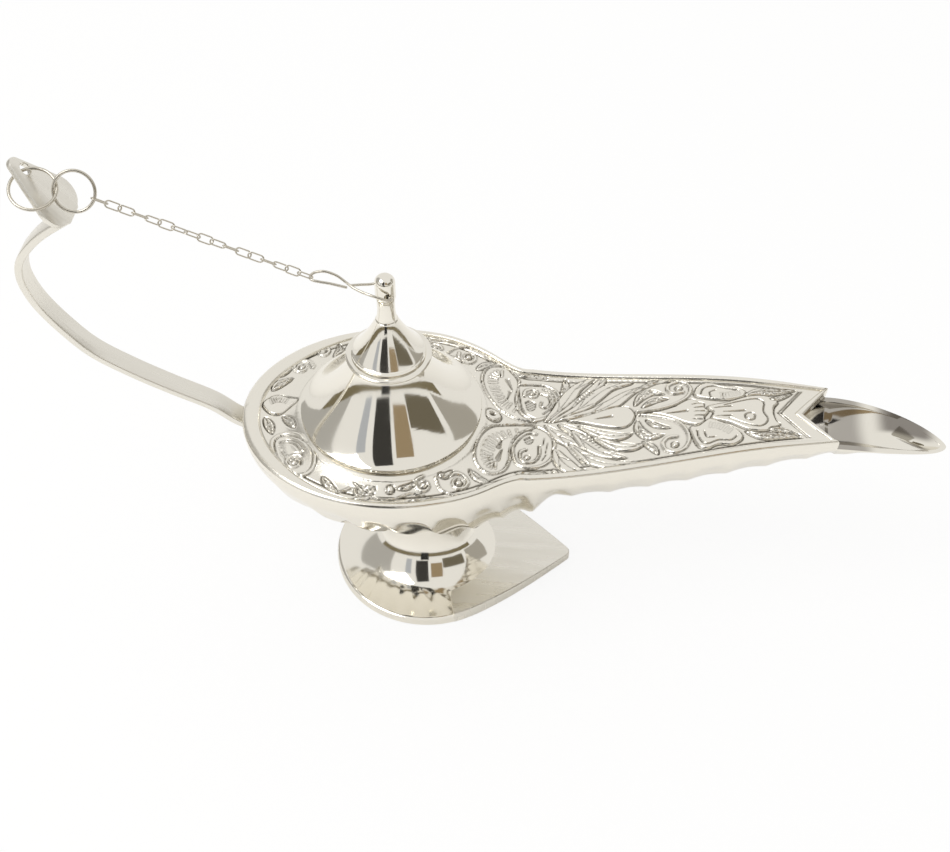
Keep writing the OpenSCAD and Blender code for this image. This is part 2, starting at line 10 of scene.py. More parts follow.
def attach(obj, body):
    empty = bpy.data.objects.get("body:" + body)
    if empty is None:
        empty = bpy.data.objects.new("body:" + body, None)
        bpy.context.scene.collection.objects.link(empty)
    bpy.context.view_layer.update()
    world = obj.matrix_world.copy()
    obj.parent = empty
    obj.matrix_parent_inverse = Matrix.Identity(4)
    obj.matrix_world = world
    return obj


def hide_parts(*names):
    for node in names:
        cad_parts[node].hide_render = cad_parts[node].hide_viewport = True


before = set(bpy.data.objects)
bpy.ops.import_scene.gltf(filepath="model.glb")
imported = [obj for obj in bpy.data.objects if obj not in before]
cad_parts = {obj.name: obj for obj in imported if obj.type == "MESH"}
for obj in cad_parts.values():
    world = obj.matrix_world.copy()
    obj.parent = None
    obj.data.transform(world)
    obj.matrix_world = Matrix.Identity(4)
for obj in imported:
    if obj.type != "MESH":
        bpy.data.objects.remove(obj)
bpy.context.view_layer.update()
MM = 0.001

# Sizes in millimetres, in a frame whose x = 0 is the lid's axis. MID_X shifts it to the record's frame.
MID_X = 33.0645
PLATE_Z, CROWN_H, PLATE_T = 67.0, 2.6, 1.6
DIP, RISE, DIP_X, RISE_X = 1.7, 7.2, 42.0, 118.0
RIM_BACK, RIM_MID_X, RIM_HALF_W = 45.0, 0.5, 37.2
TONGUE_X, TONGUE_ROOT_W, TONGUE_END_W, NOTCH = 130.5, 23.0, 11.0, 9.0
RIM_W, RIM_BACK_W, RIM_H, SKIRT_H = 2.4, 3.0, 0.8, 3.0
SEAM, BOWL_STEP, BOWL_WALL, BASE_Z = 0.06, 0.5, 1.8, 29.5
LIP_LEN, LIP_DROOP = 36.0, 8.0
FLUTE_PITCH, FLUTE_DEPTH = 11.5, 1.3
OPENING_R = 23.0
LID_Z = PLATE_Z + CROWN_H + 0.15
LID_H = 22.6
FLANGE_Z = LID_Z + LID_H
FOOT_X, FOOT_R = 9.9, 30.8
FINIAL_H, CROSS_Z, CROSS_TURN = 28.0, 22.8, 20


# Curves and small tools
def ease(v, a, b):
    t = np.clip((np.asarray(v, float) - a) / (b - a), 0, 1)
    return t * t * (3 - 2 * t)


def spline(points, steps=10, closed=False):
    """A smooth curve through points."""
    p = np.array(points, float)
    n = len(p)
    out = []
    for i in range(n if closed else n - 1):
        a, b, c, d = (p[(i + k) % n] if closed else p[min(max(i + k, 0), n - 1)] for k in (-1, 0, 1, 2))
        for t in np.linspace(0, 1, steps, endpoint=False):
            out.append(0.5 * (2 * b + (c - a) * t + (2 * a - 5 * b + 4 * c - d) * t * t
                              + (3 * b - a - 3 * c + d) * t ** 3))
    if not closed:
        out.append(p[-1])
    return np.array(out)


def plate_top(x):
    return PLATE_Z - DIP * ease(x, 12, DIP_X) + (RISE + DIP) * ease(x, DIP_X, RISE_X)


def crown(x, y):
    return CROWN_H * (1 - ease(np.hypot(x, y) - OPENING_R, 1.5, 11))


def oval_w(x):
    a = RIM_BACK + RIM_MID_X
    return RIM_HALF_W * np.sqrt(np.clip(1 - ((x - RIM_MID_X) / a) ** 2, 0, 1))


def tongue_w(x):
    t = np.clip((x - DIP_X) / (TONGUE_X - DIP_X), 0, 1)
    return TONGUE_ROOT_W + (TONGUE_END_W - TONGUE_ROOT_W) * t + 0.8 * np.sin(np.pi * t)


def rim_w(x):
    x = np.asarray(x, float)
    a, b = oval_w(x), tongue_w(x)
    h = np.maximum(5 - abs(a - b), 0) / 5
    return np.where(x < 24, a, np.maximum(a, b) + h * h * 5 / 4)


def lip_t(x):
    return np.clip((x - TONGUE_X) / LIP_LEN, 0, 1)


def bowl_w(x):
    x = np.asarray(x, float)
    lip = (TONGUE_END_W - BOWL_STEP) * (1 - lip_t(x) ** 2) ** 0.6
    return np.where(x <= TONGUE_X, np.maximum(rim_w(x) - BOWL_STEP, 0), lip)


def bowl_edge(x):
    return plate_top(x) - SKIRT_H - SEAM - LIP_DROOP * lip_t(x) ** 1.6


def keel_z(x):
    x = np.asarray(x, float)
    end = plate_top(TONGUE_X) - SKIRT_H - 9
    run = np.clip((x - 47) / (TONGUE_X - 47), 0, 1) ** 1.5
    body = BASE_Z - 1.2 + 2.6 * ease(x, 20, 42) + 10.6 * ease(x, 42, 51) + (end - BASE_Z - 12) * run
    lip = bowl_edge(x) - 1.2 - 9 * (1 - lip_t(x)) ** 2
    return np.where(x <= TONGUE_X, body, lip)


# Meshes
def piece(name, verts, faces, body, material, nodes=(), smooth=40):
    """A mesh from millimetre points in the lid's frame, standing for CAD nodes."""
    v = (np.array(verts, float) - [MID_X, 0, 0]) * MM
    me = bpy.data.meshes.new(name)
    me.from_pydata(v.tolist(), [], [list(map(int, f)) for f in faces])
    me.validate()
    ob = bpy.data.objects.new(name, me)
    bpy.context.scene.collection.objects.link(ob)
    return dress(ob, body, material, nodes, smooth)


def dress(ob, body, material, nodes=(), smooth=40):
    me = ob.data
    me.materials.clear()
    me.materials.append(material)
    me.polygons.foreach_set("use_smooth", [True] * len(me.polygons))
    me.set_sharp_from_angle(angle=math.radians(smooth))
    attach(ob, body)
    if nodes:
        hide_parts(*nodes)
    return ob


def facing_out(ob):
    bm = bmesh.new()
    bm.from_mesh(ob.data)
    bmesh.ops.recalc_face_normals(bm, faces=bm.faces)
    bm.to_mesh(ob.data)
    bm.free()


def skin(n, a, b, base=0):
    return [(base + k * n + i, base + k * n + (i + 1) % n, base + (k + 1) * n + (i + 1) % n,
             base + (k + 1) * n + i)
            for k in range(a, b) for i in range(n)]


def lathe(profile, segments, at=(0, 0, 0)):
    """Points and faces of a closed profile (r, z) turned about a vertical axis."""
    p = np.array(profile, float)
    a = np.linspace(0, 2 * np.pi, segments, endpoint=False)
    rings = [np.stack([r * np.cos(a), r * np.sin(a), np.full(segments, z)], 1) for r, z in p]
    v = np.concatenate(rings) + np.array(at)
    faces = skin(segments, 0, len(p) - 1)
    faces.append(tuple(range(segments))[::-1])
    faces.append(tuple((len(p) - 1) * segments + i for i in range(segments)))
    return v, faces


def tube(path, d, sides=14, taper=0.0):
    """Points and faces of a round wire along a path, with domed ends."""
    p = np.array(path, float)
    t = np.gradient(p, axis=0)
    t /= np.linalg.norm(t, axis=1)[:, None]
    n = np.array([0.0, 0.0, 1.0])
    verts, r = [], d / 2
    p = np.concatenate([[p[0] - t[0] * r * 0.5], p, [p[-1] + t[-1] * r * 0.5]])
    t = np.concatenate([[t[0]], t, [t[-1]]])
    for i, (c, d0) in enumerate(zip(p, t)):
        n = n - n.dot(d0) * d0
        n /= np.linalg.norm(n)
        b = np.cross(d0, n)
        rr = r * (0.6 if i in (0, len(p) - 1) else 1)
        a = np.linspace(0, 2 * np.pi, sides, endpoint=False)[:, None]
        verts.append(c + rr * (np.cos(a) * n + np.sin(a) * b))
    faces = skin(sides, 0, len(p) - 1)
    faces.append(tuple(range(sides))[::-1])
    faces.append(tuple((len(p) - 1) * sides + i for i in range(sides)))
    return np.concatenate(verts), faces


# Materials
def shader(name, colour, rough, metallic=1.0):
    m = bpy.data.materials.new(name)
    m.use_nodes = True
    nt = m.node_tree
    b = nt.nodes["Principled BSDF"]
    b.inputs["Base Color"].default_value = (*colour, 1)
    b.inputs["Metallic"].default_value = metallic
    b.inputs["Roughness"].default_value = rough
    return m, nt, b


def node(nt, kind, **values):
    n = nt.nodes.new(kind)
    for k, v in values.items():
        if hasattr(n, k):
            setattr(n, k, v)
        else:
            n.inputs[k.replace("_", " ")].default_value = v
    return n


def stretched_noise(nt, scale, stretch, detail=3.0):
    """Noise in object space, stretched by a factor on each axis."""
    at = nt.nodes.new("ShaderNodeTexCoord")
    mp = nt.nodes.new("ShaderNodeMapping")
    mp.inputs["Scale"].default_value = stretch
    no = node(nt, "ShaderNodeTexNoise", Scale=scale, Detail=detail)
    nt.links.new(at.outputs["Object"], mp.inputs["Vector"])
    nt.links.new(mp.outputs["Vector"], no.inputs["Vector"])
    return no.outputs["Fac"]


def spread(nt, source, low, high):
    r = node(nt, "ShaderNodeMapRange")
    r.inputs["From Min"].default_value, r.inputs["From Max"].default_value = 0.35, 0.65
    r.inputs["To Min"].default_value, r.inputs["To Max"].default_value = low, high
    nt.links.new(source, r.inputs["Value"])
    return r.outputs["Result"]


def bump(nt, b, source, strength, distance=0.0002):
    n = node(nt, "ShaderNodeBump", Strength=strength, Distance=distance)
    nt.links.new(source, n.inputs["Height"])
    nt.links.new(n.outputs["Normal"], b.inputs["Normal"])


SILVER = (0.86, 0.83, 0.755)


def darkened(nt, b, attribute, dark):
    """Silver that turns dark where the named attribute is 1."""
    at = node(nt, "ShaderNodeAttribute", attribute_name=attribute)
    mix = node(nt, "ShaderNodeMix", data_type="RGBA")
    mix.inputs["A"].default_value = (*SILVER, 1)
    mix.inputs["B"].default_value = dark
    nt.links.new(at.outputs["Fac"], mix.inputs["Factor"])
    nt.links.new(mix.outputs["Result"], b.inputs["Base Color"])
    return at.outputs["Fac"]


def spout_reflection_silver():
    """The bowl: polished plate, with a painted dark reflection inside the open spout."""
    m, nt, b = shader("silver_plate_painted_spout_reflection", SILVER, 0.1)
    # Painted reflection: dark colour inside the spout, where the bowl's attribute is high
    darkened(nt, b, "painted_spout_reflection", (0.22, 0.2, 0.18, 1))
    nt.links.new(spread(nt, stretched_noise(nt, 60, (1, 1, 1)), 0.06, 0.15), b.inputs["Roughness"])
    bump(nt, b, stretched_noise(nt, 500, (0.12, 0.12, 1)), 0.03)
    return m


def turned_plate():
    """Silver plate with the fine rings a lathe leaves, which run round a vertical axis."""
    m, nt, b = shader("turned_silver_plate", SILVER, 0.1)
    nt.links.new(spread(nt, stretched_noise(nt, 60, (1, 1, 1)), 0.05, 0.13), b.inputs["Roughness"])
    bump(nt, b, stretched_noise(nt, 900, (0.02, 0.02, 1)), 0.05)
    return m


def brushed():
    m, nt, b = shader("brushed_silver_plate", (0.8, 0.775, 0.71), 0.28)
    nt.links.new(spread(nt, stretched_noise(nt, 300, (0.15, 1, 0.15)), 0.2, 0.38), b.inputs["Roughness"])
    bump(nt, b, stretched_noise(nt, 900, (0.06, 1, 0.06)), 0.2)
    return m


def chased():
    """The top plate: bright on its raised parts and dark where a patina fills the recesses."""
    m, nt, b = shader("chased_silver_plate", SILVER, 0.2)
    patina = darkened(nt, b, "patina", (0.11, 0.095, 0.07, 1))
    grain = stretched_noise(nt, 1400, (1, 1, 1), 4)
    rough = node(nt, "ShaderNodeMapRange")
    rough.inputs["To Min"].default_value, rough.inputs["To Max"].default_value = 0.2, 0.62
    nt.links.new(patina, rough.inputs["Value"])
    nt.links.new(rough.outputs["Result"], b.inputs["Roughness"])
    bump(nt, b, grain, 0.12)
    return m


def wire():
    m, nt, b = shader("plated_wire", (0.62, 0.585, 0.51), 0.24)
    nt.links.new(spread(nt, stretched_noise(nt, 400, (1, 1, 1)), 0.16, 0.36), b.inputs["Roughness"])
    return m


def plain_steel():
    m, nt, b = shader("plain_steel", (0.5, 0.49, 0.47), 0.35)
    nt.links.new(spread(nt, stretched_noise(nt, 500, (1, 1, 0.2)), 0.28, 0.45), b.inputs["Roughness"])
    return m


SPOUT_REFLECTION_SILVER, TURNED, BRUSHED = spout_reflection_silver(), turned_plate(), brushed()
CHASED, WIRE, STEEL = chased(), wire(), plain_steel()


# Bowl: the fluted outside, the plain inside and the open lip
def half_line():
    start = math.acos((30 - RIM_MID_X) / (RIM_BACK + RIM_MID_X))
    lip = TONGUE_X + LIP_LEN - LIP_LEN * (1 - np.cos(np.radians(np.linspace(0, 90, 45, endpoint=False))))
    spout = np.linspace(TONGUE_X, 30, 170, endpoint=False)
    back = RIM_MID_X + (RIM_BACK + RIM_MID_X) * np.cos(np.linspace(start, np.pi, 150))
    keel_from = 45 - (45 - 30) * 0.58
    keels = np.concatenate([TONGUE_X + (lip - TONGUE_X) * 0.8,
                            np.where(spout > 45, spout, 45 - (45 - spout) * 0.58),
                            np.linspace(keel_from, -7, 150)])
    return np.concatenate([lip, spout, back]), keels


def bowl():
    xs, keels = half_line()
    ws = bowl_w(xs)
    ws[0] = ws[-1] = 0
    n = 2 * (len(xs) - 1)
    half = len(xs) - 1
    edge = np.array([[xs[i], ws[i]] if i <= half else [xs[n - i], -ws[n - i]] for i in range(n)])
    fold = np.array([i if i <= half else n - i for i in range(n)])
    run = np.concatenate([[0], np.cumsum(np.linalg.norm(np.diff(edge[:half + 1], axis=0), axis=1))])
    flute = FLUTE_DEPTH * abs(np.sin(np.pi * run[fold] / FLUTE_PITCH))
    flute *= ease(edge[:, 0], TONGUE_X + LIP_LEN - 8, TONGUE_X - 8) * (1 - 0.45 * ease(edge[:, 0], 40, 62))
    keel = np.stack([keels[fold], np.zeros(n)], 1)
    out = edge - keel
    reach = np.linalg.norm(out, axis=1)
    top = bowl_edge(edge[:, 0])

    def ring(v, wall, fluted):
        dent = wall + (flute * ease(v, 0.08, 0.3) if fluted else 0)
        across = math.cos(math.pi / 2 * v) * np.maximum(reach - dent, 0.3) / reach
        xy = keel + out * across[:, None]
        if v == 1:
            xy[:, 1] = 0
        depth = np.maximum(top - keel_z(xy[:, 0]) - dent, 0.4 if wall else 1.6)
        z = np.maximum(top - depth * math.sin(math.pi / 2 * v) ** 1.3, BASE_Z + wall)
        return np.column_stack([xy, z])

    outer = [ring(v, 0, True) for v in np.linspace(0, 1, 34)]
    inner = [ring(v, BOWL_WALL, False) for v in np.linspace(0, 1, 16)]
    verts = np.concatenate(outer + inner)
    base = len(outer) * n
    faces = [f[::-1] for f in skin(n, 0, len(outer) - 1)] + skin(n, 0, len(inner) - 1, base)
    faces += [(i, (i + 1) % n, base + (i + 1) % n, base + i) for i in range(n)]
    ob = piece("bowl_body", verts, faces, "lamp", SPOUT_REFLECTION_SILVER, ["bowl"], 32)
    bm = bmesh.new()
    bm.from_mesh(ob.data)
    bmesh.ops.remove_doubles(bm, verts=bm.verts, dist=1e-6)
    bmesh.ops.recalc_face_normals(bm, faces=bm.faces)
    bm.to_mesh(ob.data)
    bm.free()
    ob.data.set_sharp_from_angle(angle=math.radians(32))
    at = np.array([(*v.co, v.normal.z) for v in ob.data.vertices])
    # Painted dark reflection inside the spout: grey at the mouth, bright along the middle and the near wall,
    # dark on the far wall near the tip
    x, y = at[:, 0] / MM + MID_X, at[:, 1] / MM
    mouth = ease(x, 126, 129) * (1 - ease(x, 138, 143)) * 0.65
    tip = ease(x, 144, 149) * (1 - ease(x, 160, 165)) * ease(y, 0.5, 2.5) * 0.9
    painted_spout_reflection = np.maximum(mouth, tip) * ease(at[:, 3], 0.05, 0.4)
    ob.data.attributes.new("painted_spout_reflection", "FLOAT", "POINT").data.foreach_set("value", painted_spout_reflection.astype(np.float32))
    return ob


bowl()


# Ornament on the top plate, drawn as heights over a fine grid of the plate
CELL = 0.2
GX = np.arange(-48, 134, CELL)
GY = np.arange(-40, 40 + CELL, CELL)
H = np.zeros((len(GY), len(GX)))


def window(pts, pad):
    p = np.asarray(pts)
    i0 = max(int((p[:, 0].min() - pad - GX[0]) / CELL), 0)
    i1 = min(int((p[:, 0].max() + pad - GX[0]) / CELL) + 2, len(GX))
    j0 = max(int((p[:, 1].min() - pad - GY[0]) / CELL), 0)
    j1 = min(int((p[:, 1].max() + pad - GY[0]) / CELL) + 2, len(GY))
    X, Y = np.meshgrid(GX[i0:i1], GY[j0:j1])
    return slice(j0, j1), slice(i0, i1), X, Y


def nearest(X, Y, p):
    """Distance from each cell to a polyline, and how far along it the nearest point is."""
    best = np.full(X.shape, 1e9)
    where = np.zeros(X.shape)
    for k in range(len(p) - 1):
        a, d = p[k], p[k + 1] - p[k]
        l2 = max(d @ d, 1e-9)
        t = np.clip(((X - a[0]) * d[0] + (Y - a[1]) * d[1]) / l2, 0, 1)
        q = np.hypot(X - a[0] - t * d[0], Y - a[1] - t * d[1])
        hit = q < best
        best = np.where(hit, q, best)
        where = np.where(hit, (k + t) / (len(p) - 1), where)
    return best, where


def inside(X, Y, p):
    c = np.zeros(X.shape, bool)
    for k in range(len(p)):
        (x0, y0), (x1, y1) = p[k], p[(k + 1) % len(p)]
        if y0 == y1:
            continue
        c ^= ((Y > y0) != (Y > y1)) & (X < (x1 - x0) * (Y - y0) / (y1 - y0) + x0)
    return c


def band(pts, w=0.55, h=0.45, ends=(1, 1), closed=False, cut=0.28):
    """A raised cord along a curve, with a chased line on both sides."""
    p = spline(pts, 5, closed)
    if closed:
        p = np.vstack([p, p[:1]])
    j, i, X, Y = window(p, w + 1.2)
    d, t = nearest(X, Y, p)
    ww = w * (ends[0] + (ends[1] - ends[0]) * t)
    groove = np.clip(1 - (d - ww) / 0.42, 0, 1) * (d > ww)
    H[j, i] = np.minimum(H[j, i], np.where(groove > 0, -cut * groove, H[j, i] + 9))
    up = h * np.sqrt(np.clip(1 - (d / np.maximum(ww, 1e-3)) ** 2, 0, 1))
    H[j, i] = np.where(d < ww, np.maximum(up, 0.05), H[j, i])


def cut(pts, w=0.3, depth=0.4, ends=(1, 1), steps=5):
    """A chased line."""
    p = spline(pts, steps) if len(pts) > 2 else np.array(pts, float)
    j, i, X, Y = window(p, w + 0.4)
    d, t = nearest(X, Y, p)
    ww = w * (ends[0] + (ends[1] - ends[0]) * t)
    H[j, i] -= (depth + np.maximum(H[j, i], 0) * 0.6) * np.clip(1 - (d / np.maximum(ww, 1e-3)) ** 2, 0, 1)


def drop(a, b, w=0.6, depth=0.5):
    """A drop-shaped cut, pointed at a."""
    cut([a, ((a[0] + b[0]) / 2, (a[1] + b[1]) / 2), b], w, depth, (0.15, 1))


def shape(pts, h=0.34, edge=0.8, line=0.34, rim=0.0):
    """A raised area inside a smooth closed curve, with a chased outline."""
    p = spline(pts, 5, True)
    j, i, X, Y = window(p, 1.2)
    d, _ = nearest(X, Y, np.vstack([p, p[:1]]))
    inn = inside(X, Y, p)
    level = h * np.sqrt(np.clip(d / edge, 0, 1) * (2 - np.clip(d / edge, 0, 1)))
    H[j, i] = np.where(inn, level + rim, H[j, i])
    H[j, i] -= 0.42 * np.clip(1 - (d / line) ** 2, 0, 1)


def sunk(pts, depth=0.34):
    """A recessed, punched ground inside a closed curve."""
    p = spline(pts, 5, True)
    j, i, X, Y = window(p, 0.4)
    H[j, i] = np.where(inside(X, Y, p), -depth + 0.12 * np.sin(X * 5.1) * np.sin(Y * 5.7 + X), H[j, i])


def leaf(pts, w, h=0.36, veins=0, vein=True, fat=0.45):
    """A pointed leaf along a curve, w wide at `fat` of its length."""
    c = spline(pts, 6)
    t = np.linspace(0, 1, len(c))
    swell, taper = np.pi / 2 * t / fat, np.pi / 2 * (t - fat) / (1 - fat)
    half = w / 2 * np.where(t < fat, abs(np.sin(swell)) ** 0.8, abs(np.cos(taper)) ** 0.9)
    g = np.gradient(c, axis=0)
    g /= np.linalg.norm(g, axis=1)[:, None]
    side = np.stack([-g[:, 1], g[:, 0]], 1) * half[:, None]
    p = np.vstack([c + side, (c - side)[::-1]])
    j, i, X, Y = window(p, 1.0)
    d, _ = nearest(X, Y, np.vstack([p, p[:1]]))
    inn = inside(X, Y, p)
    k = np.clip(d / 0.9, 0, 1)
    H[j, i] = np.where(inn, np.maximum(h * np.sqrt(k * (2 - k)), 0), H[j, i])
    H[j, i] -= 0.42 * np.clip(1 - (d / 0.32) ** 2, 0, 1)
    if vein:
        a, b = int(len(c) * 0.12), int(len(c) * 0.8)
        cut(c[a:b:3], 0.22, 0.25, (1, 0.3))
    for q in np.linspace(0.25, 0.72, veins):
        m = int(q * (len(c) - 1))
        for s in (-1, 1):
            tip = c[min(m + 4, len(c) - 1)] + s * side[min(m + 4, len(c) - 1)] * 0.75
            cut([c[m], tip], 0.16, 0.22)


def curl(at, r, start, turns=1.2, w=0.55, turn=1, boss=True, h=0.45):
    """A spiral cord that winds in to a round boss."""
    a = np.radians(start) + turn * np.linspace(0, 2 * np.pi * turns, max(int(9 * turns), 6))
    rr = np.linspace(r, r * 0.32, len(a))
    band(np.stack([at[0] + rr * np.cos(a), at[1] + rr * np.sin(a)], 1), w, h, (1, 0.7))
    if boss:
        disc(at, r * 0.3)


def disc(at, r, h=0.4):
    a = np.linspace(0, 2 * np.pi, 9)[:-1]
    shape(np.stack([at[0] + r * np.cos(a), at[1] + r * np.sin(a)], 1), h, r * 0.8)


def comb(pts, reach, count, w=0.34, h=0.42, lean=0.0, side=1):
    """A row of short raised teeth that stand on one side of a curve."""
    p = spline(pts, 8)
    g = np.gradient(p, axis=0)
    g /= np.linalg.norm(g, axis=1)[:, None]
    for q in np.linspace(0.04, 0.96, count):
        m = int(q * (len(p) - 1))
        a = p[m]
        n = side * np.array([-g[m, 1], g[m, 0]]) + lean * g[m]
        b = a + n * reach
        j, i, X, Y = window(np.array([a, b]), 1)
        d, _ = nearest(X, Y, np.array([a, b]))
        H[j, i] = np.where(d < w, np.maximum(H[j, i], h * np.sqrt(np.clip(1 - (d / w) ** 2, 0, 1))), H[j, i])
        H[j, i] -= 0.2 * np.clip(1 - ((d - w) / 0.25) ** 2, 0, 1)


# Ground: everything outside the polished seat and inside the border line is punched lower
XX, YY = np.meshgrid(GX, GY)
RR = np.hypot(XX, YY)


def border_w(x):
    """Half width of the ornamented field, inside the border line."""
    inset = RIM_W + 1.6 + RIM_BACK_W * ease(-x, 5, 42)
    return np.where(x > 60, rim_w(x) - 3.2, rim_w(np.clip(x, -44.9, 130)) - inset)


FIELD = (abs(YY) < border_w(XX)) & (RR > 28.6) & (XX < 114 + abs(YY) * 0.75)
GROUND = -0.14
H[:] = np.where(FIELD, GROUND, 0)


def both(pts):
    """The border runs down both sides."""
    return [pts, [(x, -y) for x, y in pts]]


def ornament():
    # Border lines
    edge = [(x, float(border_w(np.array(float(x))))) for x in range(-36, 122, 4)]
    for line in both(edge):
        cut(line, 0.42, 0.45)
    # Upper paisley, with its comb of teeth
    paisley = [(44, 0.5), (40, 0.8), (36, 2), (32, 4.8), (29, 8.5), (27.3, 12), (26.4, 16), (26.6, 19.5),
               (28, 22.3), (30.5, 23.6), (33.5, 23.2), (36, 21), (37.8, 18), (38, 15), (37.5, 12), (37.3, 9),
               (37.8, 6), (39, 3.8), (41, 2.2)]
    shape(paisley, 0.12)
    band(paisley + [(44, 1.5)], 0.62, 0.5, (0.5, 0.6))
    comb([(37, 4.2), (33, 6.6), (30.6, 10), (29, 14), (28.6, 18), (30.4, 21), (33, 21.4)], 2.4, 15, 0.42,
         side=-1)
    drop((34.4, 9), (35.2, 12.6), 0.9, 0.45)
    drop((35.8, 13.5), (34.2, 17.6), 1.1, 0.45)
    # Upper scroll medallion
    shape([(38, 16), (42, 16.3), (46, 16), (49, 14), (50.5, 11), (50.5, 7.5), (48.5, 4), (45.5, 1.8),
           (42, 2.4),
           (39.4, 5), (38.4, 10)], 0.1)
    band([(38, 16), (42, 16.3), (46, 16), (49, 14), (50.5, 11), (50.5, 7.5), (48.5, 4), (45.5, 1.8),
          (43, 0.8)], 0.6,
         0.5, (0.6, 0.9))
    curl((42, 12.2), 2.5, 200, 1.1, 0.5, -1)
    sunk([(40, 8.6), (41.5, 9.3), (43.3, 8), (42.8, 5.4), (40.8, 5.2)])
    band([(44.6, 12.6), (47, 11.4), (47.8, 8.8), (46.6, 6.6), (44.8, 7), (45, 8.8)], 0.42, 0.42, (0.8, 0.6))
    band([(45.4, 14.4), (48, 12.8), (49, 9.6), (48, 6.4), (45.6, 4)], 0.3, 0.35, (0.6, 0.4))
    # Lower paisley
    paisley = [(43, -0.8), (38, -1), (33, -1.8), (30, -3.5), (27.5, -7), (26, -11), (25.5, -15),
               (26.5, -18.5),
               (29, -21), (32, -21.2), (34.5, -19.5), (35.8, -16), (36, -12), (36.8, -8), (38.5, -5), (41,
                                                                                                       -3)]
    shape(paisley, 0.12)
    band(paisley + [(43, -2.3)], 0.62, 0.5, (0.5, 0.6))
    comb([(38, -3), (33.4, -4.6), (30.4, -7.6), (28.6, -12), (28.2, -16), (30, -19), (32.4, -19.2)], 2.4,
         15, 0.42,
         side=1)
    drop((33.4, -7.6), (32.6, -10.8), 0.9, 0.45)
    drop((33.6, -11.4), (32.4, -15.6), 1.1, 0.45)
    # Lower scroll medallion
    scroll = [(44, -1.5), (47, -3.5), (48.8, -7), (48.9, -11), (48, -14.5), (45.5, -17), (42, -18),
              (38.5, -17),
              (37, -14), (36.8, -10), (38.5, -6.5), (41, -4.2)]
    shape(scroll, 0.1)
    band(scroll + [(43.5, -4.5)], 0.6, 0.5, (0.7, 0.7))
    band([(44.5, -9.5), (44.5, -13), (43, -15.5), (40.5, -16), (39, -14.5), (39, -12), (40.5, -11)], 0.48,
         0.45,
         (0.6, 0.8))
    disc((41, -14), 0.9, 0.4)
    sunk([(40, -6.8), (41.4, -5.6), (42.8, -6.6), (42.2, -8.6), (40.6, -8.6)])
    for a, b in (((46, -6), (45.6, -9)), ((47, -8), (46.4, -12)), ((46.6, -12.6), (45.4, -15))):
        cut([a, b], 0.28, 0.35)
    leaf([(46, -19), (46.4, -20.8), (46, -22.6)], 1.8, vein=False)
    leaf([(48.4, -18.2), (49.4, -19.8), (49.4, -21.6)], 1.8, vein=False)
    # Boss between the paisleys
    disc((30.5, 1.3), 2.5, 0.5)
    cut([(30.1, 1.4), (30.3, 1.5), (30.5, 1.6)], 0.9, 0.8)
    # Leaves that fan out from between the medallions
    leaf([(51, 12), (52.4, 15), (52, 19)], 2.6, veins=2)
    for pts, w, veins in (([(46, 0.8), (50, 5), (53, 10), (56, 15), (62, 19.5)], 3.6, 5),
                          ([(47, 0.5), (54, 6), (59, 11), (63, 16.5), (65, 20)], 3.0, 4),
                          ([(48, 0.5), (56, 5.5), (61, 10.5), (66, 14.5), (73, 15.7)], 3.2, 5),
                          ([(50, 1.5), (60, 4), (66, 7), (71, 11), (76, 14)], 3.0, 5),
                          ([(46, -0.6), (50, -5), (54, -7.5), (56, -12), (58, -17)], 3.4, 4),
                          ([(50, -0.3), (54, -3), (59, -8), (61, -12), (62, -15)], 3.0, 4),
                          ([(54, -3), (58, -8), (63, -12.5), (70, -14.8)], 3.2, 5),
                          ([(53, -8), (57, -12.5), (62, -16), (70, -17.6), (78, -16.4)], 2.6, 5),
                          ([(49, -10), (51, -15), (54.5, -18.5), (59, -19.8)], 3.6, 5)):
        leaf(pts, w + 1.4, 0.4, veins // 2)
    shape([(53, 0.9), (58, 2.8), (62, 4.3), (67, 5.9), (71, 5.6), (73, 2), (71.5, -1.5), (68.5, -2.9),
           (63, -1.8),
           (58, -0.2)], 0.42, 1.4)
    drop((61, 1.2), (66, 1.9), 0.6, 0.4)
    leaf([(56, -1), (62, -4.6), (68, -6.2), (72, -5.2)], 3.6, 0.38, 2)
    leaf([(60, -5.6), (66, -9.4), (71.5, -10.8), (75.5, -9.6)], 3.4, 0.38, 2)
    for k in range(6):
        cut([(54.6 + 0.9 * k, 9.6 + 0.7 * k), (56.2 + 0.9 * k, 8.4 + 0.7 * k)], 0.2, 0.25)
        cut([(57.4 + 0.9 * k, -6 - 0.9 * k), (59 + 0.9 * k, -5 - 0.9 * k)], 0.2, 0.25)
    # Spirals on the tongue
    band([(73.5, 3.5), (80, 4), (85, 5.5), (88.5, 8), (89.8, 11), (88.5, 13.8), (86, 14.5), (83.5, 13.5),
          (83, 11.5),
          (84.5, 10), (87.5, 10.2)], 0.75, 0.52, (0.6, 0.7))
    disc((86.3, 12), 1.1, 0.42)
    leaf([(73, 11.5), (76.5, 14), (80, 15.5), (85.5, 15.3)], 1.8, 0.36, 4)
    leaf([(73, 6), (75, 9.5), (78, 11), (82, 10)], 3.0, 0.36, 5)
    leaf([(75, 5.2), (79, 7.6), (83, 8)], 2.0, 0.36, 3)
    band([(74, 2.2), (79, 1), (84, -1), (87, -4.5), (88, -9), (86.5, -12.5), (83.5, -13.8), (81, -12.5),
          (80.5, -10), (82, -8), (84.5, -7.8)], 0.75, 0.52, (0.6, 0.7))
    disc((83.8, -10.8), 1.1, 0.42)
    leaf([(73.5, 0), (74, -4), (77, -7), (81, -6.5)], 3.2, 0.36, 5)
    leaf([(74.6, -8.6), (77.4, -11.4), (79, -14.2)], 2.4, 0.36, 3)
    leaf([(76, 0), (79, -2.6), (83, -4)], 2.0, 0.36, 3)
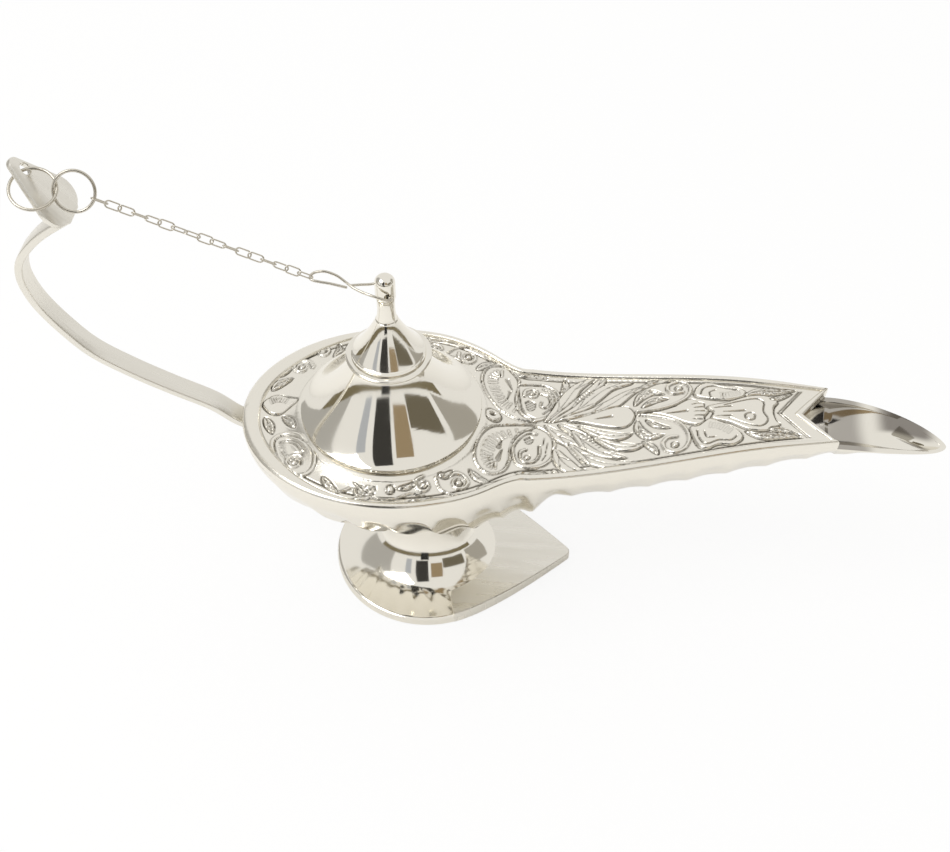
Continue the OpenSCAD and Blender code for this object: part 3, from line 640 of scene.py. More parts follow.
    # Lobed flower between them
    shape([(74, 2.5), (79, 2.8), (84, 4.2), (88, 6.6), (90, 6.9), (91.8, 5.6), (93.2, 5), (93.4, 3),
           (94.4, 1.6),
           (93, -0.6), (93, -2.6), (91, -3.8), (87, -2.5), (84, -0.5), (79, 1.8)], 0.42, 1.2)
    for k in range(5):
        cut([(89.6 + 0.3 * (2 - abs(k - 2)), 4.6 - 1.5 * k), (92.4 + 0.5 * (2 - abs(k - 2)), 5 - 1.7 * k)],
            0.3, 0.35,
            (0.3, 1))
    drop((82.4, 1.6), (88, 2), 0.55, 0.4)
    # Petals on both sides
    shape([(91, 8), (91.2, 11), (93, 13), (96, 13.3), (99, 12), (103, 11.3), (105.5, 9.5), (105.8, 7.5),
           (102, 6),
           (97, 6)], 0.4, 1.0)
    cut([(92.6, 8.8), (93.6, 11), (96.4, 11.6), (100, 10.4), (103.6, 9.4)], 0.3, 0.35)
    comb([(98.6, 6.8), (101, 6.9), (104, 7.8)], 1.7, 6, side=1)
    shape([(88.5, -4.5), (89, -9), (90.5, -12.5), (93, -13.3), (96, -12), (100, -12.3), (102.8, -10.5),
           (103, -8),
           (100.5, -5), (96, -2), (94, -1.5), (91, -4)], 0.4, 1.0)
    cut([(90.4, -6), (90.8, -9.4), (92.6, -11.6), (96, -10.4), (99.6, -10.6), (101.4, -9)], 0.3, 0.35)
    comb([(94.6, -3.4), (97.6, -4.4), (100.4, -6.6)], 1.7, 6, side=-1)
    cut([(95.4, 7.2), (95.2, 9.2), (97, 10)], 0.26, 0.3)
    cut([(92.4, -6.4), (93, -9), (95.4, -9)], 0.26, 0.3)
    cut([(75.6, 2.9), (80, 3.2), (85, 4.4)], 0.24, 0.3)
    # Heart on the tongue's end
    shape([(94, 3.5), (100, 5), (106, 7), (110, 7.3), (113, 6.5), (114.8, 4.5), (113.5, 2.5), (113, 0),
           (113.5, -3), (114.5, -4.5), (112, -6.5), (108.5, -7.2), (104.5, -6.3), (100, -3.5), (95, -1.5),
           (95.6, 1)], 0.44, 1.6)
    cut([(99, 3.6), (104, 4.9), (108.4, 5.6), (110.5, 4), (110, 0.5), (111, -3), (108.6, -5.4), (104.6, -4.4),
         (100, -1.8)], 0.26, 0.32)
    cut([(96, 2.6), (98.5, 2.8), (101, 2.9)], 0.32, 0.36, (0.3, 1))
    cut([(98.6, 0.8), (101.5, 0.8), (104.6, 0.9)], 0.42, 0.4, (0.3, 1))
    cut([(96, -0.7), (98, -0.8), (100.6, -0.9)], 0.32, 0.36, (0.3, 1))
    disc((106, -1.5), 1.5, 0.56)
    # Leaves at the chevron
    leaf([(105.4, 7.6), (109.5, 8.8), (114.5, 8.8), (120.6, 9.8)], 3.0, 0.38, 5)
    leaf([(112.6, 5.6), (115.4, 6.4), (119.6, 8.6)], 1.8, 0.38, 3)
    leaf([(104, -7), (108.4, -9.1), (113.4, -9), (119.4, -9.2)], 2.8, 0.38, 5)
    leaf([(111, -6.4), (114.6, -6.6), (119.6, -8.4)], 2.0, 0.38, 3)
    for off in (0, 0.9):
        cut([(121.5 + off, 9.4), (114.3 + off, 0.2)], 0.3, 0.4)
        cut([(121.5 + off, -9.2), (114.3 + off, 0.2)], 0.3, 0.4)
    # Back of the plate
    shape([(-39.5, 1), (-38, 4), (-35, 5.5), (-31, 4), (-28.8, 2.5), (-31, 0), (-34, -2.8), (-37, -2.2)],
          0.4, 1.2)
    comb([(-37.6, 3.4), (-34.8, 4.6), (-31.6, 3.6)], 2.0, 8, side=-1)
    medallion = [(-34, -14.5), (-32.5, -11.3), (-29, -10.8), (-25, -13), (-21.5, -17), (-20.3, -21.5),
                 (-21.5, -25),
                 (-25, -26.5), (-29, -24.5), (-32, -20.5)]
    shape(medallion, 0.12)
    band(medallion, 0.6, 0.5, closed=True)
    curl((-26.4, -21.4), 2.8, 60, 1.2, 0.5, 1)
    band([(-31.6, -14), (-29, -13.6), (-26.4, -15.2), (-24.6, -17.6)], 0.45, 0.4, (0.5, 0.8))
    comb([(-31.6, -15.6), (-30.4, -18.8), (-28.4, -20.8)], 1.2, 6)
    curl((-30, 18), 3.5, 0, 1.1, 0.6, 1)
    leaf([(-37.6, 7.4), (-35.6, 10.4), (-32, 13)], 3.0, 0.38, 4)
    leaf([(-38, -4), (-36, -7.4), (-34.6, -10.6)], 2.8, 0.38, 4)
    leaf([(-32.6, -3.4), (-30, -6), (-28, -8.8)], 2.4, 0.38, 3)
    leaf([(-36.2, 13.4), (-34.4, 16.8), (-33.6, 20.4)], 2.4, 0.38, 3)
    curl((-24.6, 25.4), 3.2, 200, 1.1, 0.55, -1)
    leaf([(-29.6, 22.6), (-30, 25), (-28.6, 27.4)], 2.2, 0.38, 3)
    leaf([(-20.6, 22.6), (-19.4, 26), (-20, 29.4)], 2.4, 0.38, 3)
    # Near and far borders beside the lid
    for s, shift in ((-1, 0), (1, -1)):
        curl((-6 + shift, s * 31.2), 2.3, 30, 1.2, 0.5, s)
        band([(-16, s * 29), (-12.5, s * 31.6), (-9, s * 30.4)], 0.5, 0.42, (0.5, 0.8))
        leaf([(-17.6, s * 26.4), (-15.4, s * 29.4), (-12, s * 32.2)], 2.2, 0.36, 3)
        band([(-8, s * 29), (-3, s * 33), (3, s * 33.6), (8, s * 31.4), (12, s * 31.6)], 0.5, 0.45,
             (0.6, 0.6))
        disc((2.4, s * 30.6), 1.2)
        curl((11.8 + shift, s * 28.4), 2.6, 100, 1.1, 0.5, -s)
        leaf([(4.4, s * 30.2), (7.4, s * 29.4), (9.2, s * 27.8)], 1.5, 0.34, 2)
        curl((21.6, s * 26), 3.4, 150, 1.2, 0.55, s)
        band([(15, s * 25.6), (17, s * 29.4), (22, s * 30.6), (26.6, s * 28.6)], 0.5, 0.45, (0.6, 0.7))
        leaf([(24.4, s * 20.6), (27, s * 23.4), (31.4, s * 25.4)], 2.4, 0.36, 4)
        leaf([(26.8, s * 27.4), (31.6, s * 25.4), (36.6, s * 22.4)], 2.2, 0.36, 4)
        leaf([(37.6, s * 20), (42, s * 20.6), (47, s * 19.4)], 2.2, 0.36, 4)
        leaf([(39, s * 22.6), (44, s * 22), (50, s * 20)], 1.8, 0.36, 3)
        leaf([(-20, s * 31), (-15.5, s * 33.6), (-10, s * 34.4)], 2.2, 0.36, 2)
        leaf([(-2, s * 30), (-4.4, s * 33.4), (-8.4, s * 34.2)], 1.8, 0.34, 1)
        leaf([(8, s * 33.8), (13.4, s * 33.6), (19, s * 31.8)], 2.2, 0.36, 2)
        leaf([(15.6, s * 24.6), (17.8, s * 24.4), (19.6, s * 22.4)], 1.8, 0.34, 1)


ornament()
H *= ease(RR, 27.6, 28.6)
H = np.clip(H, -0.62, 0.62)
SOFT = H.copy()
for _ in range(6):
    beside = SOFT[:-2, 1:-1] + SOFT[2:, 1:-1] + SOFT[1:-1, :-2] + SOFT[1:-1, 2:]
    SOFT[1:-1, 1:-1] = (SOFT[1:-1, 1:-1] * 2 + beside) / 6
PATINA = np.clip((SOFT - H) / 0.24, 0, 1) * 0.85 + np.clip((GROUND - 0.08 - H) / 0.25, 0, 1) * 0.6
PATINA = np.clip(PATINA, 0, 1)


def sample(grid, x, y):
    fx, fy = np.clip((x - GX[0]) / CELL, 0, len(GX) - 1.001), np.clip((y - GY[0]) / CELL, 0, len(GY) - 1.001)
    i, j = fx.astype(int), fy.astype(int)
    u, v = fx - i, fy - j
    return ((grid[j, i] * (1 - u) + grid[j, i + 1] * u) * (1 - v)
            + (grid[j + 1, i] * (1 - u) + grid[j + 1, i + 1] * u) * v)


# Top plate: columns of points across the field, split in two round the filler opening
def plate():
    m, nb, nm, nf, step = 96, 56, 160, 328, 8
    # Outer edge of one side from the back to the front, and the same edge moved in by the rim's width
    u = np.linspace(0, 1, 1600)
    start = math.acos((30 - RIM_MID_X) / (RIM_BACK + RIM_MID_X))
    back = RIM_MID_X + (RIM_BACK + RIM_MID_X) * np.cos(np.linspace(np.pi, start, 900))
    ex = np.concatenate([back, np.linspace(30, TONGUE_X, 701)[1:]])
    ew = rim_w(ex)
    ew[0] = 0
    rim = RIM_W + RIM_BACK_W * ease(-ex, 5, 42)
    far = np.clip(ex, -8, TONGUE_X - 24)
    gone = np.stack([ex - far, ew], 1)
    gone /= np.linalg.norm(gone, axis=1)[:, None]
    ix, iw = ex - rim * gone[:, 0], ew - rim * gone[:, 1]
    iw[0] = 0
    ix = np.maximum.accumulate(ix)
    x0, x1 = ix[0], ix[-1]
    apex_in = TONGUE_X - NOTCH - RIM_W
    a = np.linspace(0, 1, nb + 1)
    cols = np.concatenate([x0 + (-OPENING_R - x0) * a ** 1.6,
                           -OPENING_R * np.cos(np.linspace(0, np.pi, nm + 1))[1:],
                           np.linspace(OPENING_R, x1, nf + 1)[1:]])
    nx = len(cols)
    s = np.linspace(0, 1, m + 1)
    mid = np.zeros(nx, bool)
    mid[nb + 1:nb + nm] = True

    def column(side):
        x = np.repeat(cols[:, None], m + 1, 1)
        slope = np.clip((x - 92) / (x1 - 92), 0, 1)
        x = x - (x1 - apex_in) * (1 - s)[None, :] * slope
        hole = np.sqrt(np.clip(OPENING_R ** 2 - cols ** 2, 0, None))[:, None]
        hole[~mid] = 0
        w = np.interp(x, ix, iw)
        w[0] = 0
        y = hole + (w - hole) * s[None, :]
        return x, side * y

    verts = []
    count = 0
    grids = {}
    for side in (1, -1):
        x, y = column(side)
        ids = np.arange(nx * (m + 1)).reshape(nx, m + 1) + count
        z = plate_top(x) + crown(x, y)
        h = sample(H, x, y)
        edge = np.minimum(ease(1 - s[None, :], 0, 0.012), 1)
        verts.append(np.stack([x, y, z + h * edge], 2).reshape(-1, 3))
        grids[side] = (ids, x, y, z)
        count += ids.size
    faces = []

    def grid_faces(ids, flip):
        q = np.stack([ids[:-1, :-1], ids[1:, :-1], ids[1:, 1:], ids[:-1, 1:]], 2).reshape(-1, 4)
        return (q[:, ::-1] if flip else q).tolist()

    for side in (1, -1):
        faces += grid_faces(grids[side][0], side < 0)
    # Boundary of one side as a run of points: the inner edge of the rim from the back, then the notch
    shapes = [(1.0, -0.1), (0.93, -0.22), (0.88, 0.3), (0.8, 0.72), (0.66, 0.95), (0.5, 1.0), (0.34, 0.97),
              (0.18, 0.72), (0.07, 0.36), (0.0, -0.1), (0.0, -1.2), (0.03, -3.3), (0.06, -3.75)]
    last = {}
    for side in (1, -1):
        ids, x, y, z = grids[side]
        bx, by = np.concatenate([x[:, m], x[-1, m - 1::-1]]), np.concatenate([y[:, m], y[-1, m - 1::-1]])
        bi = np.concatenate([ids[:, m], ids[-1, m - 1::-1]])
        k = nx
        ux = np.interp(x[:, m], ix, u)
        ox = np.interp(ux, u, ex)
        ow = np.interp(ux, u, ew) * side
        ow[0] = 0
        v = s[m - 1::-1]
        ox = np.concatenate([ox, TONGUE_X - NOTCH * (1 - v)])
        ow = np.concatenate([ow, side * TONGUE_END_W * v])
        notch = np.concatenate([np.zeros(k), np.full(m, 1.0)])
        before = bi
        for d, up in shapes[1:] + [("skirt", 0)]:
            if d == "skirt":
                px, py = ox + (bx - ox) * 0.85, ow + (by - ow) * 0.85
                pz = plate_top(px) - SKIRT_H
            else:
                px, py = ox + (bx - ox) * d, ow + (by - ow) * d
                high = RIM_H * up * (1 - 0.65 * notch * (up > 0))
                pz = plate_top(px) + np.maximum(high, -SKIRT_H)
            now = np.arange(len(px)) + count
            count += len(px)
            verts.append(np.stack([px, py, pz], 1))
            q = np.stack([before[:-1], before[1:], now[1:], now[:-1]], 1)
            faces += (q[:, ::-1] if side > 0 else q).tolist()
            before = now
        last[side] = before
    # Underside: a coarse grid that meets every point of the skirt and the opening
    for side in (1, -1):
        ids, x, y, z = grids[side]
        low = z - PLATE_T
        new = np.arange(ids.size).reshape(ids.shape) + count
        used = np.stack([x, y, low], 2).reshape(-1, 3)
        verts.append(used)
        count += ids.size
        new[:, m] = last[side][:nx]
        new[-1, :m] = last[side][nx:][::-1]
        for i in range(0, nx - 1, step):
            for j in range(0, m, step):
                a, b = i + step, j + step
                low_edge = new[i:a + 1, j] if j == 0 and mid[i:a + 1].any() else new[[i, a], j]
                high_edge = new[i:a + 1, b] if b == m else new[[i, a], b]
                front = new[a, j:b + 1] if a == nx - 1 else new[a, [j, b]]
                f = list(low_edge) + list(front[1:-1]) + list(high_edge[::-1])
                faces.append(f[::-1] if side > 0 else f)
        wall = np.arange(nb, nb + nm + 1)
        q = np.stack([ids[wall[:-1], 0], ids[wall[1:], 0], new[wall[1:], 0], new[wall[:-1], 0]], 1)
        faces += (q[:, ::-1] if side < 0 else q).tolist()
    verts = np.concatenate(verts)
    used = np.unique(np.concatenate([np.array(f) for f in faces]))
    remap = np.full(len(verts), -1)
    remap[used] = np.arange(len(used))
    faces = [[int(remap[i]) for i in f] for f in faces]
    ob = piece("chased_top_plate", verts[used], faces, "lamp", CHASED, ["top_plate"], 60)
    me = ob.data
    bm = bmesh.new()
    bm.from_mesh(me)
    bmesh.ops.remove_doubles(bm, verts=bm.verts, dist=2e-6)
    bmesh.ops.dissolve_degenerate(bm, dist=1e-7, edges=bm.edges)
    bmesh.ops.recalc_face_normals(bm, faces=bm.faces)
    bm.to_mesh(me)
    bm.free()
    me.polygons.foreach_set("use_smooth", [True] * len(me.polygons))
    me.set_sharp_from_angle(angle=math.radians(60))
    co = np.empty(len(me.vertices) * 3)
    me.vertices.foreach_get("co", co)
    co = co.reshape(-1, 3) / MM + [MID_X, 0, 0]
    inner = np.interp(co[:, 0], ix, iw)
    on_field = (abs(co[:, 1]) < inner + 0.02) & (co[:, 2] > plate_top(co[:, 0]) - 1)
    dark = np.where(on_field, sample(PATINA, co[:, 0], co[:, 1]), 0)
    me.attributes.new("patina", "FLOAT", "POINT").data.foreach_set("value", dark.astype(np.float32))
    return ob


plate()


# Foot
def foot():
    r1, wall = FOOT_R - 1, 2.2
    a = np.radians(np.linspace(0, 90, 60))
    side = np.stack([r1 + 1.5 - (r1 + 1.5 - 9) * np.cos(a) ** 0.85, 27.5 - (27.5 - 3.4) * np.sin(a) ** 0.8],
                    1)
    side = side[side[:, 0] < r1][::-1]
    out = [(FOOT_R - 0.4, 0), (FOOT_R, 0.5), (FOOT_R, 2.2), (FOOT_R - 0.35, 3.1),
           (r1 + 0.1, 3.4)] + side.tolist()
    out += [(9, BASE_Z), (2.6, BASE_Z), (2.6, BASE_Z - 3), (9 - wall, BASE_Z - 3)]
    out += [(r - wall, z) for r, z in side[::-1] if z < BASE_Z - 3.5]
    out += [(r1 - wall, 3.2), (FOOT_R - wall, 0)]
    around = 160
    v, f = lathe(out, around, (FOOT_X, 0, 0))
    last = (len(out) - 1) * around
    f = f[:-2] + [(last + i, last + (i + 1) % around, (i + 1) % around, i) for i in range(around)]
    ob = piece("foot_turned", v, f, "lamp", TURNED, ["foot"], 30)
    facing_out(ob)
    ob.data.set_sharp_from_angle(angle=math.radians(30))
    # Pointed base
    tip = 47.8
    t = np.linspace(0, 1, 40)[:, None]
    a = math.radians(70)
    p0, far = FOOT_R * np.array([math.cos(a), math.sin(a)]), np.array([tip - 0.6, 1.6])
    bend = p0 + 13 * np.array([math.sin(a), -math.cos(a)])
    line = (1 - t) ** 2 * p0 + 2 * t * (1 - t) * bend + t * t * far
    nose = np.array([[tip - 0.1, 0.9], [tip, 0]])
    half = np.vstack([line, nose])
    loop = np.vstack([half, (half * [1, -1])[-2::-1]])
    # The base's inner end stops inside the turned part
    base_x = 9.0
    loop = np.vstack([[[base_x, p0[1] - 6]], loop, [[base_x, -p0[1] + 6]]])
    n = len(loop)

    def top(p):
        return np.clip(4.8 - (p[:, 0] - 22) * math.tan(math.radians(4)), 2.2, 4.8)

    def inset(d):
        c = np.array([14.0, 0])
        o = loop - c
        return c + o * (1 - d / np.linalg.norm(o, axis=1))[:, None]

    rings = []
    for d, k, from_top in ((0.35, 0, 0), (0, 0.35, 0), (0, -0.5, 1), (0.12, -0.2, 1), (0.4, 0, 1)):
        q = inset(d)
        rings.append(np.column_stack([q, from_top * top(q) + k]))
    v = np.concatenate(rings) + [FOOT_X, 0, 0]
    f = skin(n, 0, len(rings) - 1)
    f.append(tuple(range(n))[::-1])
    f.append(tuple((len(rings) - 1) * n + i for i in range(n)))
    ob = piece("foot_point", v, f, "lamp", BRUSHED, ["foot"], 35)
    facing_out(ob)
    ob.data.set_sharp_from_angle(angle=math.radians(35))


foot()


# Lid, finial
def closed_lathe(name, profile, segments, at, body, material, nodes, smooth=32):
    v, f = lathe(profile, segments, at)
    f = f[:-2]
    if profile[0][0] > 1e-6:
        k = (len(profile) - 1) * segments
        f += [(k + i, k + (i + 1) % segments, (i + 1) % segments, i) for i in range(segments)]
    ob = piece(name, v, f, body, material, nodes, smooth)
    bm = bmesh.new()
    bm.from_mesh(ob.data)
    bmesh.ops.remove_doubles(bm, verts=bm.verts, dist=1e-6)
    bmesh.ops.dissolve_degenerate(bm, dist=1e-7, edges=bm.edges)
    bmesh.ops.recalc_face_normals(bm, faces=bm.faces)
    bm.to_mesh(ob.data)
    bm.free()
    ob.data.set_sharp_from_angle(angle=math.radians(smooth))
    return ob


def lid():
    neck, r, h = 11.0, 27.0, LID_H
    a = np.radians(np.linspace(0, 90, 90))
    z1 = h - 1.8
    side = np.stack([r + 0.6 - (r + 0.6 - neck) * np.cos(a) ** 1.6, z1 - (z1 - 1.26) * np.sin(a) ** 1.6], 1)
    side = side[side[:, 0] < r - 0.1]
    out = [(r - 0.25, 0), (r, 0.3), (r, 0.9), (r - 0.15, 1.2)] + side[::-1].tolist()
    out += [(11.2, h - 1.5), (11.9, h - 1.3), (12.3, h - 1.0), (12.4, h - 0.7), (12.35, h - 0.45),
            (12.1, h - 0.2),
            (11.6, h - 0.04), (10.8, h), (1.6, h), (1.6, h - 3), (neck - 1.4, h - 3)]
    out += [(q - 1.4, z - 0.4) for q, z in side if q < 20.8 and z < h - 5]
    out += [(20.45, 0.56), (20.45, -2), (21.85, -2), (21.85, 0)]
    closed_lathe("lid_shell", out, 192, (0, 0, LID_Z), "lid", TURNED, ["lid_dome"])
    top, cross, knob_r, neck_r = FINIAL_H * 0.455, CROSS_Z, 2.85, 2.5
    a = np.radians(np.linspace(0, 90, 40))
    flank = np.stack([10.3 - (10.3 - 3.2) * np.sin(a) ** 1.75, 1.4 + (top - 1.4) * (1 - np.cos(a) ** 1.75)],
                     1)
    a = np.radians(np.linspace(0, 90, 20))
    bend = knob_r * 0.8
    ball = np.stack([knob_r - bend * (1 - np.cos(a)), FINIAL_H - bend + bend * np.sin(a)], 1)
    out = [(0, -5.6), (1.5, -5.6), (1.5, 0), (10.5, 0), (10.65, 0.2), (10.75, 0.6), (10.6, 1.05),
           (10.3, 1.25)]
    out += flank.tolist()[1:] + [(3.0, top + 0.15), (2.85, top + 0.4), (2.7, top + 1.4), (neck_r, top + 3.5),
                                 (neck_r, cross - 3.4), (2.6, cross - 2.8), (2.76, cross - 2.3),
                                 (knob_r, cross - 1.9)]
    out += ball.tolist() + [(0, FINIAL_H)]
    ob = closed_lathe("lid_finial_turned", out, 128, (0, 0, FLANGE_Z), "lid", TURNED,
                      ["lid_finial"])
    a = math.radians(CROSS_TURN)
    drill, df = lathe([(1.0, -9), (1.0, 9)], 40)
    me = bpy.data.meshes.new("drill")
    me.from_pydata((np.array(drill) * MM).tolist(), [], df)
    tool = bpy.data.objects.new("drill", me)
    bpy.context.scene.collection.objects.link(tool)
    tool.matrix_world = (Matrix.Translation(((-MID_X) * MM, 0, (FLANGE_Z + cross) * MM))
                         @ Matrix.Rotation(a, 4, "Z") @ Matrix.Rotation(math.pi / 2, 4, "X"))
    mod = ob.modifiers.new("bore", "BOOLEAN")
    mod.object, mod.operation, mod.solver = tool, "DIFFERENCE", "EXACT"
    dg = bpy.context.evaluated_depsgraph_get()
    new = bpy.data.meshes.new_from_object(ob.evaluated_get(dg))
    ob.modifiers.clear()
    ob.data = new
    bpy.data.objects.remove(tool)
    new.polygons.foreach_set("use_smooth", [True] * len(new.polygons))
    new.set_sharp_from_angle(angle=math.radians(32))


lid()


# Strap handle with its thumb leaf, edges eased
def strap():
    line = spline([(-43.3, 61.2), (-47.6, 63.6), (-54, 69.1), (-65.1, 75.2), (-75.6, 81.5), (-85.6, 88.9),
                   (-92.1, 97.3), (-96.9, 105.8), (-99, 112.8), (-99.1, 118), (-97.6, 122.6), (-94, 127.3),
                   (-89.2, 131.7), (-81.3, 137)], 14)
    t = np.gradient(line, axis=0)
    t /= np.linalg.norm(t, axis=1)[:, None]
    nrm = np.stack([-t[:, 1], t[:, 0]], 1)
    w, h, r = 3.3, 1.1, 0.5
    corner = np.radians(np.linspace(0, 90, 5))
    section = []
    for sy, sn, flip in ((1, 1, 0), (-1, 1, 1), (-1, -1, 0), (1, -1, 1)):
        for c in (corner[::-1] if flip else corner):
            section.append((sy * (w - r + r * math.cos(c)), sn * (h - r + r * math.sin(c))))
    n = len(section)
    verts = []
    for (px, pz), (nx, nz) in zip(line, nrm):
        for y, d in section:
            verts.append((px + nx * d, y, pz + nz * d))
    f = skin(n, 0, len(line) - 1)
    f.append(tuple(range(n))[::-1])
    f.append(tuple((len(line) - 1) * n + i for i in range(n)))
    ob = piece("handle_strap_bent", verts, f, "lamp", BRUSHED, ["handle_strap"], 40)
    facing_out(ob)
    ob.data.set_sharp_from_angle(angle=math.radians(40))
    # Thumb leaf
    lean = math.radians(36.9)
    along = np.array([math.sin(lean), 0, -math.cos(lean)])
    normal = np.array([math.cos(lean), 0, math.sin(lean)])
    end = np.array([-81.3, 0, 137.0])
    tip = end - 20 * along
    lobe = np.array([21 - 5.7, 8.6 - 5.2])
    between = lobe - [2.4, 0]
    a = math.atan2(between[1], between[0]) + math.asin(2.8 / np.linalg.norm(between)) + math.pi / 2
    half = [(2.4 + 2.4 * math.cos(b), 2.4 * math.sin(b)) for b in np.linspace(math.pi, a, 20)]
    half += [(lobe[0] + 5.2 * math.cos(b), lobe[1] + 5.2 * math.sin(b)) for b in np.linspace(a, 0.15, 40)]
    half += [(21, 3.3)]
    loop = np.array(half + [(x, -y) for x, y in half[:0:-1]])
    hole = np.array([(4.5 + 1.6 * math.cos(b), 1.0 + 1.6 * math.sin(b)) for b in
                     np.linspace(math.pi, -math.pi, 48, endpoint=False)])
    centre = np.array([11.0, 0])

    def ring(points, c, d, lift):
        o = points - c
        q = c + o * (1 - d / np.maximum(np.linalg.norm(o, axis=1), 0.1))[:, None]
        return tip + q[:, :1] * along + q[:, 1:] * np.array([0, 1, 0]) + lift * normal

    hc = np.array([4.5, 1.0])
    thick = 0.75
    outer = [ring(loop, centre, d, z) for d, z in ((0.35, -thick), (0.08, -thick + 0.1), (0, -thick + 0.35),
                                                   (0, thick - 0.35), (0.08, thick - 0.1), (0.35, thick))]
    inner = [ring(hole, hc, d, z) for d, z in ((-0.2, -thick), (0, -thick + 0.2), (0, thick - 0.2),
                                               (-0.2, thick))]
    bm = bmesh.new()
    no, ni = len(loop), len(hole)
    ov = [[bm.verts.new(((p - [MID_X, 0, 0]) * MM).tolist()) for p in r0] for r0 in outer]
    iv = [[bm.verts.new(((p - [MID_X, 0, 0]) * MM).tolist()) for p in r0] for r0 in inner]
    for rows, k in ((ov, no), (iv, ni)):
        for a0, b0 in zip(rows, rows[1:]):
            for i in range(k):
                bm.faces.new((a0[i], a0[(i + 1) % k], b0[(i + 1) % k], b0[i]))
    for row_o, row_i in ((ov[0], iv[0]), (ov[-1], iv[-1])):
        edges = []
        for row in (row_o, row_i):
            for i in range(len(row)):
                edges.append(bm.edges.get((row[i], row[(i + 1) % len(row)])))
        bmesh.ops.triangle_fill(bm, edges=edges, use_beauty=True)
    bmesh.ops.recalc_face_normals(bm, faces=bm.faces)
    me = bpy.data.meshes.new("thumb_leaf")
    bm.to_mesh(me)
    bm.free()
    leaf_ob = bpy.data.objects.new("thumb_leaf", me)
    bpy.context.scene.collection.objects.link(leaf_ob)
    dress(leaf_ob, "lamp", BRUSHED, ["handle_strap"], 35)


strap()

# Lid hook: one bent wire
FINIAL_HOLE = np.array([0, 0, FLANGE_Z + CROSS_Z])
HOOK = [(-10.2, -1.7, 2), (-14.4, -1.6, 3), (-19.1, -1.4, 3.7), (-20.2, 0, 3.75), (-19.2, 1.3, 4.2),
        (-16.4, 1.5, 4.6), (-13.2, 1.2, 3.6), (-10.8, 0.3, 2.3), (-8.6, -1, 1.5), (-6.1, -2.5, 1.3),
        (-3.4, -3.8, 1.3), (-0.7, -4.4, 0.8), (1.3, -4.3, 0.2), (1.95, -3.6, 0), (1.25, -2.6, 0), (0, 0, 0),
        (-1.25, 2.6, 0), (-2.4, 3.5, -0.4), (-4.6, 3.3, -0.8), (-7.1, 2.5, -0.4), (-9.4, 1.5, 0.1)]
hv, hf = tube(spline([tuple(FINIAL_HOLE + p) for p in HOOK], 10), 0.75, 16)
piece("lid_hook_wire", hv, hf, "chain", WIRE, ["lid_hook"], 50)
facing_out(bpy.data.objects["lid_hook_wire"])

# The remaining nodes keep their shapes
for name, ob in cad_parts.items():
    finish = STEEL if name in ("foot_stud", "foot_washer", "foot_nut", "lid_nut") else WIRE
    if ob.material_slots:
        for slot in ob.material_slots:
            slot.material = finish
    else:
        ob.data.materials.append(finish)


# Floor, light and camera
def plane(name, corners, material):
    me = bpy.data.meshes.new(name)
    me.from_pydata(corners, [], [(0, 1, 2, 3)])
    me.materials.append(material)
    ob = bpy.data.objects.new(name, me)
    bpy.context.scene.collection.objects.link(ob)
    return ob


def floor_material():
    m, nt, b = shader("pale_floor", (0.93, 0.925, 0.915), 0.7, 0.0)
    glow = node(nt, "ShaderNodeEmission", Strength=1.0)
    glow.inputs["Color"].default_value = (1, 1, 1, 1)
    ray = nt.nodes.new("ShaderNodeLightPath")
    glow_share = node(nt, "ShaderNodeMath", operation="MULTIPLY")
    glow_share.inputs[1].default_value = 0.85
    mix = nt.nodes.new("ShaderNodeMixShader")
    nt.links.new(ray.outputs["Is Camera Ray"], glow_share.inputs[0])
    nt.links.new(glow_share.outputs[0], mix.inputs["Fac"])
    nt.links.new(b.outputs[0], mix.inputs[1])
    nt.links.new(glow.outputs[0], mix.inputs[2])
    nt.links.new(mix.outputs[0], nt.nodes["Material Output"].inputs["Surface"])
    return m


plane("floor", [(-3, -3, 0), (3, -3, 0), (3, 3, 0), (-3, 3, 0)], floor_material())


def board(name, az, el, colour, r=1.1):
    """A curved board that only the metal sees. Azimuth 0 is the viewer's side and 90 is +X."""
    m = bpy.data.materials.new(name)
    m.use_nodes = True
    nt = m.node_tree
    nt.nodes.remove(nt.nodes["Principled BSDF"])
    glow = node(nt, "ShaderNodeEmission", Strength=1.0)
    glow.inputs["Color"].default_value = (*colour, 1)
    nt.links.new(glow.outputs[0], nt.nodes["Material Output"].inputs["Surface"])
    n = 13
    verts = [(r * math.cos(e) * math.sin(a), -r * math.cos(e) * math.cos(a), 0.05 + r * math.sin(e))
             for e in np.radians(np.linspace(*el, n)) for a in np.radians(np.linspace(*az, n))]
    faces = [(k * n + i, k * n + i + 1, (k + 1) * n + i + 1, (k + 1) * n + i) for k in range(n - 1)
             for i in range(n - 1)]
    me = bpy.data.meshes.new(name)
    me.from_pydata(verts, [], faces)
    me.materials.append(m)
    ob = bpy.data.objects.new(name, me)
    bpy.context.scene.collection.objects.link(ob)
    ob.visible_camera = ob.visible_diffuse = ob.visible_shadow = ob.visible_transmission = False


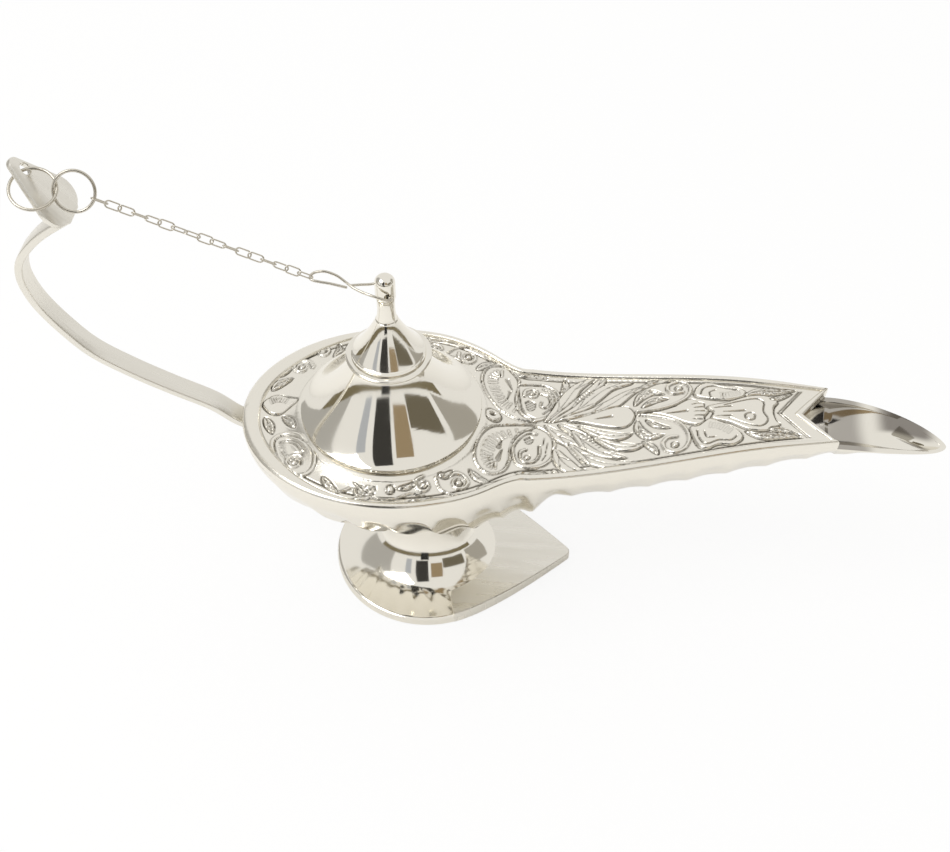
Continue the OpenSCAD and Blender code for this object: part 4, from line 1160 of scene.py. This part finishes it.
board("dark_board", (-26, 2), (16, 60), (0.05, 0.048, 0.045))
board("dark_side", (-16, 4), (-1, 14), (0.03, 0.03, 0.03))
board("tan_board", (8, 34), (22, 52), (0.34, 0.26, 0.16))
board("dark_bar", (36, 84), (14, 34), (0.16, 0.14, 0.1))
board("blue_board", (-48, -36), (14, 44), (0.48, 0.5, 0.54))
board("brown_horizon", (-110, 110), (0.5, 8), (0.2, 0.17, 0.105), 1.3)
board("grey_left", (-130, -78), (8, 48), (0.45, 0.44, 0.42), 1.3)
board("grey_right", (92, 128), (10, 40), (0.4, 0.38, 0.34), 1.3)

world = bpy.data.worlds.new("studio")
bpy.context.scene.world = world
world.use_nodes = True
world.node_tree.nodes["Background"].inputs["Color"].default_value = (1, 0.99, 0.97, 1)
world.node_tree.nodes["Background"].inputs["Strength"].default_value = 0.88


def softbox(name, at, target, size, power):
    light = bpy.data.lights.new(name, "AREA")
    light.shape, light.size, light.size_y, light.energy = "RECTANGLE", size[0], size[1], power
    ob = bpy.data.objects.new(name, light)
    bpy.context.scene.collection.objects.link(ob)
    ob.location = at
    ob.rotation_euler = (Vector(target) - Vector(at)).to_track_quat("-Z", "Y").to_euler()


softbox("key", (-0.7, -0.3, 1.2), (0, 0, 0.06), (0.7, 0.5), 5)

cam = bpy.data.cameras.new("camera")
cam.sensor_width, cam.sensor_fit, cam.lens = 36, "HORIZONTAL", 36 * 1199 / 950
view = bpy.data.objects.new("camera", cam)
bpy.context.scene.collection.objects.link(view)
RIGHT = Vector((0.9987, 0.0505, 0.0108)).normalized()
BACK = Vector((0.0266, -0.6826, 0.7303)).normalized()
UP = BACK.cross(RIGHT).normalized()
RIGHT = UP.cross(BACK)
view.matrix_world = Matrix.Translation((0.00164, -0.2482, 0.3284)) @ Matrix((
    (RIGHT.x, UP.x, BACK.x, 0), (RIGHT.y, UP.y, BACK.y, 0), (RIGHT.z, UP.z, BACK.z, 0), (0, 0, 0, 1)))
bpy.context.scene.camera = view
bpy.context.scene.view_settings.view_transform = "Standard"
